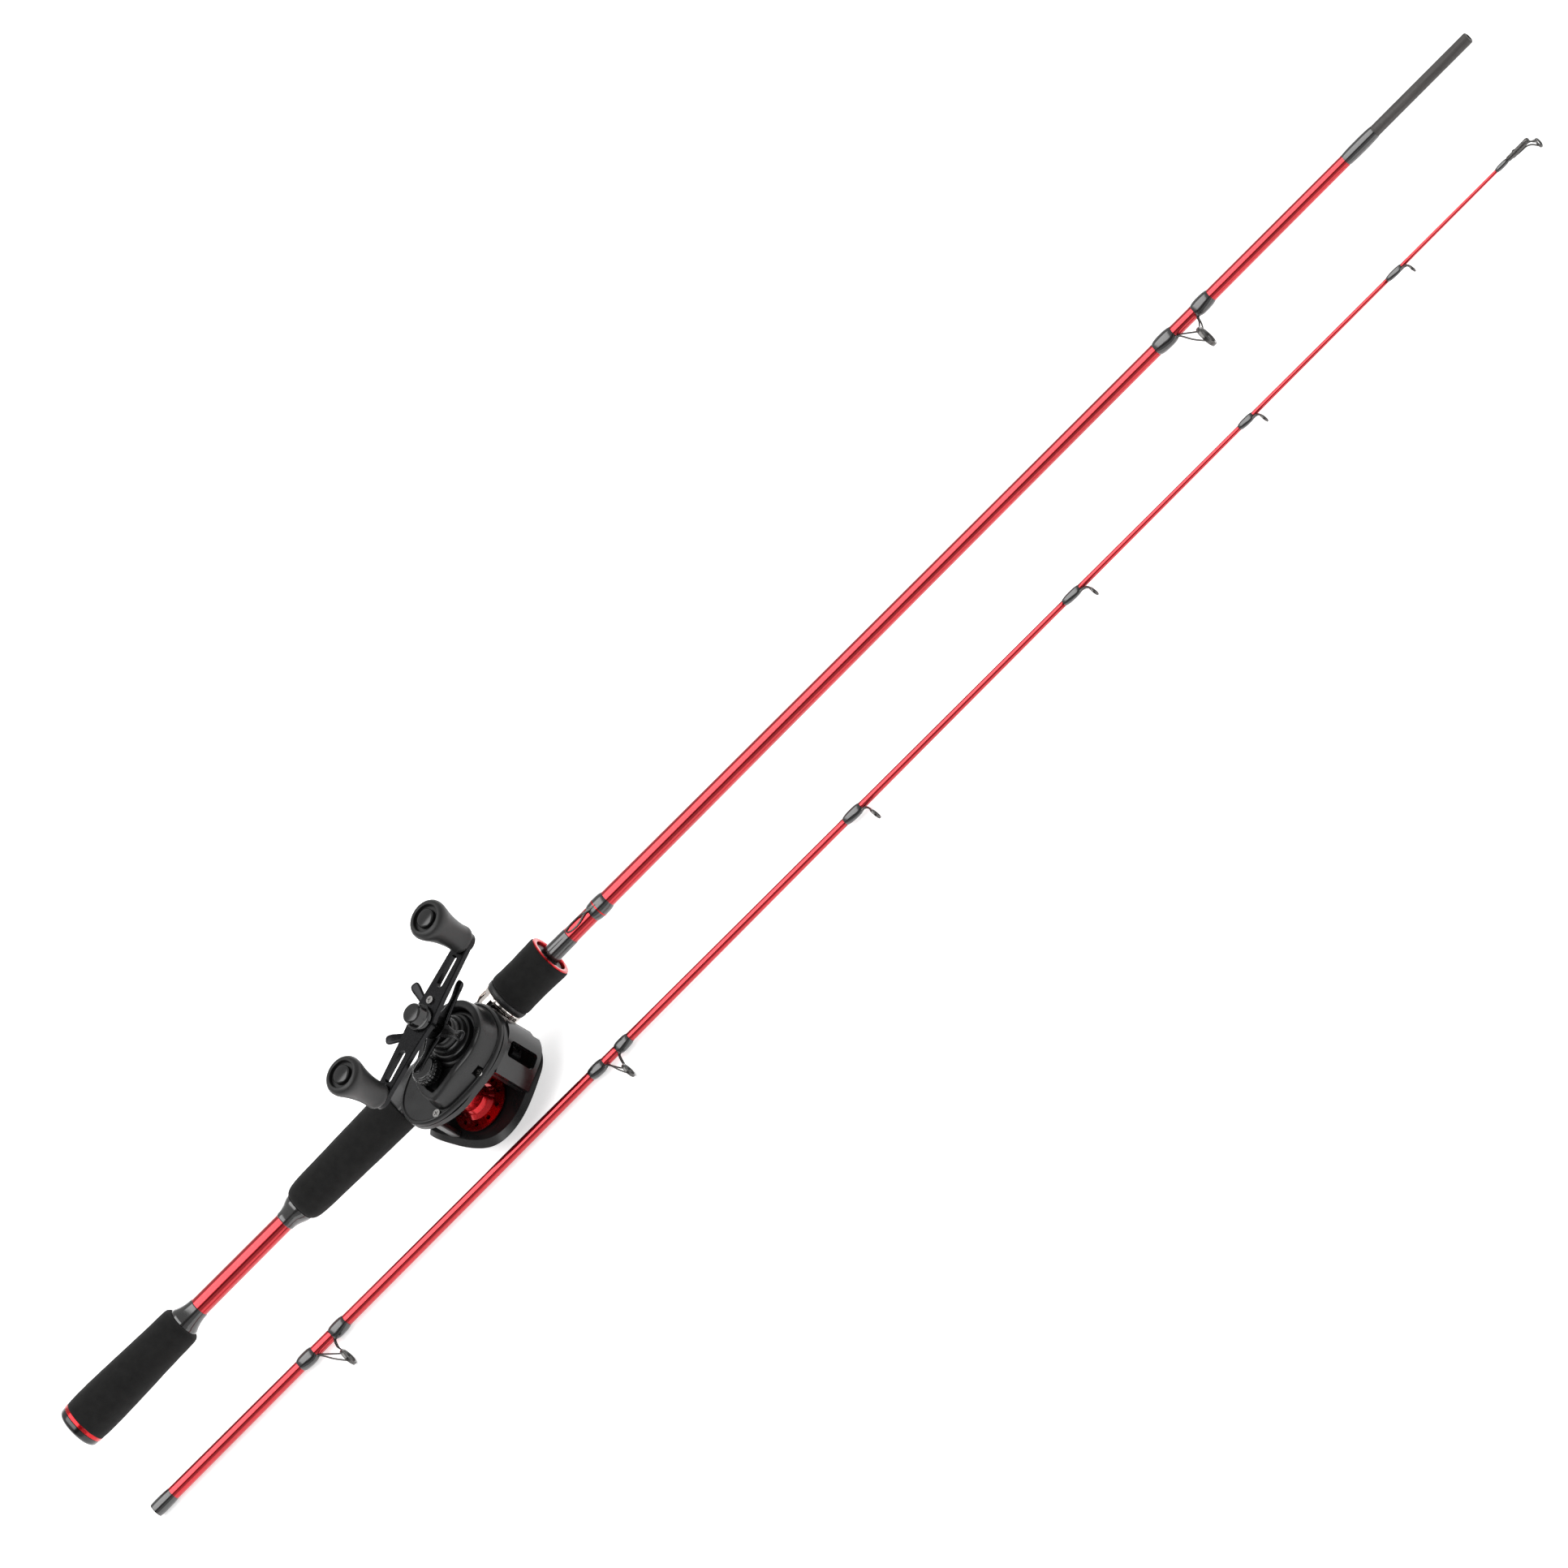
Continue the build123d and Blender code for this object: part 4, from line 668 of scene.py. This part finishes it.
ARM_THROW = 45.0
STAR_ANGLES = (27, 99, 171, 243, 315)
HOOD_TONGUES = ((0, 62), (86, 12), (118, 9), (-86, 12), (-118, 9))      # middle, half width in degrees
TONGUE_START = 309.4        # mm along the butt section
TONGUE_LENGTH = 7.6
TONGUE_OUTER = 12.0
TONGUE_INNER = 10.5
TONGUE_ROWS = 16
TONGUE_ACROSS = 28
FINGER_SEGMENTS = 28


def smoothstep(value):
    """Smooth rise from 0 to 1."""
    value = min(1.0, max(0.0, value))
    return value * value * (3 - 2 * value)


def polar_loop(points, middle, steps=24):
    """Closed smooth curve through points, read off at even angles about a middle point."""
    size = len(points)
    dense = []
    for i in range(size):
        p0, p1, p2, p3 = (points[(i + k - 1) % size] for k in range(4))
        for k in range(steps):
            x, y = (between(*values, k / steps) for values in zip(p0, p1, p2, p3))
            dx, dy = x - middle[0], y - middle[1]
            dense.append((math.atan2(dy, dx) % (2 * math.pi), math.hypot(dx, dy)))
    dense.sort()
    first, last = dense[0], dense[-1]
    dense = [(last[0] - 2 * math.pi, last[1]), *dense, (first[0] + 2 * math.pi, first[1])]
    loop, place = [], 0
    for i in range(LOOP):
        angle = 2 * math.pi * i / LOOP
        while dense[place + 1][0] < angle:
            place += 1
        (a0, r0), (a1, r1) = dense[place], dense[place + 1]
        radius = r0 + (r1 - r0) * (angle - a0) / max(1e-9, a1 - a0)
        loop.append((middle[0] + radius * math.cos(angle), middle[1] + radius * math.sin(angle)))
    return loop


def inset(loop, amount):
    """The same loop moved inwards along its normals."""
    moved = []
    for i, (x, y) in enumerate(loop):
        ax, ay = loop[i - 1]
        bx, by = loop[(i + 1) % len(loop)]
        length = math.hypot(bx - ax, by - ay)
        moved.append((x - (by - ay) / length * amount, y + (bx - ax) / length * amount))
    return moved


def outer_of(one, other, middle):
    """Point by point, whichever loop is further from the middle."""
    return [max(a, b, key=lambda p: math.dist(p, middle)) for a, b in zip(one, other)]


def clear_of_screws(loop, middle):
    """Pulls a loop in towards its middle where it would run over a screw."""
    moved = []
    for x, y in loop:
        reach = 1.0
        for sx, sy in SCREWS_AT:
            while math.dist((x, y), (sx, sy)) < SCREW_CLEARANCE and reach > 0:
                reach -= 0.01
                x, y = x + (middle[0] - x) * 0.01, y + (middle[1] - y) * 0.01
        moved.append((x, y))
    return moved


def stack(levels, middle):
    """Skin through loops, each given with a height or a list of heights; middle closes the last one."""
    verts = []
    count = len(levels[0][0])
    for loop, height in levels:
        heights = height if isinstance(height, list) else [height] * count
        verts.extend(Vector((x, y, z)) * MM for (x, y), z in zip(loop, heights))
    faces = skin(len(levels), count)
    verts.append(Vector((*middle, levels[-1][1])) * MM)
    start = (len(levels) - 1) * count
    faces.extend((start + k, start + (k + 1) % count, len(verts) - 1) for k in range(count))
    return verts, faces


def handle_cover():
    """Side plate with a ridge round its edge, gear case with a sloping rim, and the ridged dome."""
    middle = COVER_MIDDLE
    side = polar_loop(SIDE_OUTLINE, middle)
    case = polar_loop(CASE_OUTLINE, middle)
    foot = clear_of_screws(inset(case, -0.8), middle)
    wall = clear_of_screws(inset(case, 0.2), middle)
    rim = [61.5 + 3.1 * smoothstep((y + 8) / 25) for _, y in case]

    def plate(amount):
        return outer_of(inset(side, amount), foot, middle)

    def below(drop):
        return [z - drop for z in rim]

    levels = [
        (inset(side, 0.3), 49.55), (side, 49.9), (side, 50.8), (inset(side, 0.4), 51.7),
        (plate(1.0), 52.35), (plate(1.3), 52.45), (plate(1.7), 52.45), (plate(2.0), 52.3),
        (plate(2.3), 51.8), (plate(2.6), 51.6), (foot, 51.6), (inset(foot, 0.2), 51.9), (wall, 54.2),
        (inset(case, 0.4), 55.8), (inset(case, 0.6), 60.0), (inset(case, 1.0), below(1.0)),
        (inset(case, 1.45), below(0.3)), (inset(case, 2.1), rim), (inset(case, 4.5), below(0.05)),
        (inset(case, 4.95), below(0.4)), (inset(case, 5.2), below(1.2)), (inset(case, 5.7), 59.2),
        (inset(case, 6.4), 58.8),
    ]
    dome = lathe([
        (58.8, 15.2), (60.6, 15.0), (61.2, 14.6), (61.5, 13.9), (61.5, 13.3), (61.2, 12.9), (63.4, 12.6),
        (63.9, 12.4), (64.3, 11.9), (64.4, 11.2), (64.2, 10.8), (66.6, 10.5), (67.1, 10.1), (67.4, 9.5),
        (67.3, 9.0), (67.1, 8.8), (69.6, 8.5), (70.3, 8.1), (70.8, 7.6), (72.0, 7.3), (72.0, 2.6),
        (58.8, 2.6),
    ], CRANK_AT, UP)
    boss = lathe([(58.8, 5.35), (66.2, 5.35), (66.5, 5.0), (66.5, 1.6), (58.8, 1.6)], SPOOL_AT, UP, 64)
    return [stack(levels, middle), dome, boss]


def fluted(profile, flutes, depth, segments=240):
    """Turned mesh about the spool's axis; each row's share is how much of the flutes' depth it gets."""
    levels = []
    for height, radius, share in profile:
        loop = []
        for i in range(segments):
            angle = 2 * math.pi * i / segments
            cut = max(0.0, math.cos(flutes * angle)) ** 3 * depth * share
            loop.append(((radius - cut) * math.cos(angle), (radius - cut) * math.sin(angle)))
        levels.append((loop, height))
    return stack(levels, (0, 0))


def star_finger(degrees):
    """One finger: narrow in its middle, rising outwards to a rounded paddle."""
    angle = math.radians(degrees)
    out = Vector((math.cos(angle), math.sin(angle), 0))
    across = Vector((-out.y, out.x, 0))
    stations = smooth_points([
        (4.6, 74.9, 8.6, 3.4), (7.4, 75.5, 7.6, 3.2), (10.4, 76.2, 5.8, 2.9), (13.6, 77.0, 4.6, 2.6),
        (17.2, 78.2, 4.2, 2.4), (20.8, 79.7, 4.7, 2.3), (24.0, 80.9, 5.5, 2.1), (26.2, 81.5, 5.1, 1.8),
        (27.2, 81.7, 3.6, 1.3), (27.5, 81.75, 1.6, 0.7)], 4)
    verts = []
    for reach, height, width, thick in stations:
        centre = CRANK_AT + (out * reach + UP * height) * MM
        for k in range(FINGER_SEGMENTS):
            t = 2 * math.pi * k / FINGER_SEGMENTS
            c, s = math.cos(t), math.sin(t)
            x = math.copysign(abs(c) ** 0.55, c) * width / 2
            z = math.copysign(abs(s) ** 0.7, s) * thick / 2
            verts.append(centre + (across * x + UP * z) * MM)
    return verts, capped_skin(len(stations), FINGER_SEGMENTS)


def knobs():
    """Two flared knobs with a collar at the foot and a cap sunk in the outer face."""
    body = [(88.2, 2.1), (88.2, 6.0), (88.35, 6.5), (88.8, 7.0), (89.6, 7.3), (91.0, 7.35), (91.6, 7.2),
            (93.6, 7.12), (97, 7.25), (100.2, 7.6), (104, 8.2), (107, 8.85), (110, 9.65), (112, 10.25),
            (114, 10.75), (115.6, 10.95), (116.8, 10.8), (117.9, 10.2), (118.6, 9.4), (118.85, 8.6),
            (118.85, 7.9), (118.6, 7.55), (116.6, 7.3), (116.4, 7.1), (116.4, 5.35), (115.6, 5.35),
            (115.6, 2.1)]
    cap = [(115.65, 0), (115.65, 5.25), (118.0, 5.25), (118.5, 5.1), (118.85, 4.7), (119.0, 4.1),
           (119.0, 0)]
    arm = Vector((-math.sin(ARM_TURN), math.cos(ARM_TURN), 0))
    for label, side in (("front", 1), ("rear", -1)):
        at = CRANK_AT + arm * (side * ARM_THROW * MM)
        stand_in(f"knob_{label}", [lathe(body, at, UP)])
        stand_in(f"knob_cap_{label}", [lathe(cap, at, UP, 72)])


def hood():
    """Plated hood: a turned collar with a wide curved tongue over the reel's foot and four narrow ones."""
    collar = lathe([(316.6, 9.3), (316.6, 11.5), (316.9, 11.9), (317.3, 12.0), (318.6, 12.0),
                    (319.0, 11.85), (319.2, 11.5), (319.2, 9.3)], BUTT_AT)
    shells = []
    rows, across = TONGUE_ROWS, TONGUE_ACROSS
    width = across + 1
    for middle, half in HOOD_TONGUES:
        verts, faces = [], []
        for i in range(rows + 1):
            share = i / rows
            spread = math.radians(half) * (0.86 + 0.14 * math.sin(min(1.0, share * 1.6) * math.pi / 2))
            dome = 1.1 * (1 - smoothstep(share * 2.4))
            y = TONGUE_START + TONGUE_LENGTH * share
            for radius in (TONGUE_OUTER - dome, TONGUE_INNER - 0.05 * dome):
                for k in range(width):
                    angle = math.radians(middle) + spread * (2 * k / across - 1)
                    out = Vector((math.cos(angle) * radius, y, math.sin(angle) * radius))
                    verts.append(BUTT_AT + out * MM)
        for i in range(rows):
            low, high = 2 * i * width, 2 * (i + 1) * width
            for k in range(across):
                faces.append((low + k, low + k + 1, high + k + 1, high + k))
                faces.append((low + width + k, high + width + k, high + width + k + 1, low + width + k + 1))
            faces.append((low, high, high + width, low + width))
            faces.append((low + across, low + width + across, high + width + across, high + across))
        for start, flip in ((0, False), (2 * rows * width, True)):
            for k in range(across):
                face = (start + k, start + width + k, start + width + k + 1, start + k + 1)
                faces.append(tuple(reversed(face)) if flip else face)
        shells.append((verts, faces))
    return [collar, *shells]


def reel():
    """Pieces of the reel that get their own meshes; the rest keep the frame's."""
    stand_in("handle_cover", handle_cover(), crease=COVER_CREASE)
    hub = lathe([(73.0, 2.6), (73.0, 6.5), (73.3, 7.0), (74.0, 7.4), (76.0, 7.4), (76.6, 7.2), (77.1, 6.6),
                 (77.2, 5.9), (77.2, 2.6)], CRANK_AT, UP)
    stand_in("star_drag", [hub, *(star_finger(angle) for angle in STAR_ANGLES)])
    stand_in("handle_nut_cap", [lathe([
        (87.8, 2.6), (87.8, 7.0), (88.0, 7.3), (89.9, 7.25), (90.3, 7.0), (90.45, 6.5), (90.6, 6.2),
        (91.2, 6.05), (94.8, 5.7), (95.6, 5.4), (96.05, 4.9), (96.2, 4.2), (96.2, 0)], CRANK_AT, UP)])
    knobs()
    stand_in("tension_cap", [fluted([
        (61.7, 7.3, 0.4), (62.0, 7.8, 1), (62.4, 8.0, 1), (66.3, 8.0, 1), (66.7, 7.8, 0.8), (67.1, 7.4, 0.3),
        (67.3, 7.0, 0), (68.1, 6.7, 0), (68.35, 6.3, 0), (68.4, 5.6, 0), (68.4, 2.0, 0)], 24, 0.55)])
    stand_in("moving_hood", hood())


# --- Stage, light and camera --------------------------------------------------------------------
FLOOR_HALF = 30.0           # metres
FLOOR_GLOW = 0.6
FRAME_WIDTH = 0.795         # metres of the view across the object
TARGET = Vector((0.0054, 0.2336, 0.034))
CAMERA_TILT = math.radians(14.0)
CAMERA_TURN = math.radians(45.0)
LENS = 1200.0
SENSOR = 36.0
BASE_LIGHT = 0.62
KEY_LIGHT = 4.2
GAP_DEPTH = 0.86            # share of the light that the dark gap takes away
EDGE = math.radians(2.5)
KEY_ROUND = (math.radians(54), math.radians(126))       # round the rod, from +X towards +Z
GAP_ROUND = (math.radians(31), math.radians(51))
KEY_ALONG = (-0.5, 0.08)    # along the rod, as the Y part of the light's direction
ALONG_EDGE = 0.08


def stage():
    """Large pale floor."""
    half = FLOOR_HALF
    corners = [(-half, -half, 0), (half, -half, 0), (half, half, 0), (-half, half, 0)]
    mesh = bpy.data.meshes.new("floor")
    mesh.from_pydata(corners, [], [(0, 1, 2, 3)])
    obj = bpy.data.objects.new("floor", mesh)
    bpy.context.scene.collection.objects.link(obj)
    obj.location.z = cad_box[0].z
    r = Recipe("pale_floor")
    r.set(Roughness=0.95, Specular_IOR_Level=0.1, Emission_Color=(1, 1, 1, 1), Emission_Strength=FLOOR_GLOW)
    r.to("Base Color", r.ramp(r.noise(3, 2), (0.86, 0.86, 0.86), (0.88, 0.88, 0.88)))
    mesh.materials.append(r.material)


def camera():
    """Long lens that sees the reel's handle side and top, with the rod rising to the right."""
    tilt, turn = CAMERA_TILT, CAMERA_TURN
    half = math.sqrt(0.5)
    right = Vector((
        half * (math.cos(turn) - math.sin(tilt) * math.sin(turn)),
        half * math.cos(tilt),
        -half * (math.sin(turn) + math.sin(tilt) * math.cos(turn)),
    ))
    up = Vector((
        -half * (math.cos(turn) + math.sin(tilt) * math.sin(turn)),
        half * math.cos(tilt),
        half * (math.sin(turn) - math.sin(tilt) * math.cos(turn)),
    ))
    back = right.cross(up)
    data = bpy.data.cameras.new("camera")
    data.lens, data.sensor_width = LENS, SENSOR
    obj = bpy.data.objects.new("camera", data)
    bpy.context.scene.collection.objects.link(obj)
    distance = FRAME_WIDTH * LENS / SENSOR
    obj.matrix_world = Matrix((
        (right.x, up.x, back.x, TARGET.x + back.x * distance),
        (right.y, up.y, back.y, TARGET.y + back.y * distance),
        (right.z, up.z, back.z, TARGET.z + back.z * distance),
        (0, 0, 0, 1),
    ))
    data.clip_start, data.clip_end = 0.1, 200
    bpy.context.scene.camera = obj


def studio():
    """Even white studio with one long box of light overhead and a narrow dark gap beside it."""
    world = bpy.data.worlds.new("studio")
    world.use_nodes = True
    tree = world.node_tree
    background = tree.nodes["Background"]

    def node(kind, **values):
        made = tree.nodes.new(kind)
        for name, value in values.items():
            setattr(made, name, value)
        return made

    def value_of(source, socket):
        if isinstance(source, (int, float)):
            socket.default_value = source
        else:
            tree.links.new(source, socket)

    def math_node(operation, a, b=0.0):
        made = node("ShaderNodeMath", operation=operation)
        value_of(a, made.inputs[0])
        value_of(b, made.inputs[1])
        return made.outputs[0]

    def step(source, low, high):
        made = node("ShaderNodeMapRange", interpolation_type="SMOOTHSTEP")
        value_of(source, made.inputs["Value"])
        made.inputs["From Min"].default_value = low
        made.inputs["From Max"].default_value = high
        return made.outputs["Result"]

    direction = node("ShaderNodeSeparateXYZ")
    tree.links.new(node("ShaderNodeTexCoord").outputs["Generated"], direction.inputs[0])
    x, y, z = direction.outputs
    round_rod = math_node("ARCTAN2", z, x)

    def band(source, low, high, soft):
        rise = step(source, low - soft, low + soft)
        fall = math_node("SUBTRACT", 1.0, step(source, high - soft, high + soft))
        return math_node("MULTIPLY", rise, fall)

    key = math_node("MULTIPLY", band(round_rod, *KEY_ROUND, EDGE), band(y, *KEY_ALONG, ALONG_EDGE))
    gap = band(round_rod, *GAP_ROUND, EDGE)
    light = math_node("ADD", BASE_LIGHT, math_node("MULTIPLY", key, KEY_LIGHT - BASE_LIGHT))
    light = math_node("MULTIPLY", light, math_node("SUBTRACT", 1.0, math_node("MULTIPLY", gap, GAP_DEPTH)))
    tree.links.new(light, background.inputs["Strength"])
    background.inputs["Color"].default_value = (1, 1, 1, 1)
    bpy.context.scene.world = world
    bpy.context.scene.view_settings.view_transform = "Standard"


dress_frame()
rod()
reel()
stage()
studio()
camera()
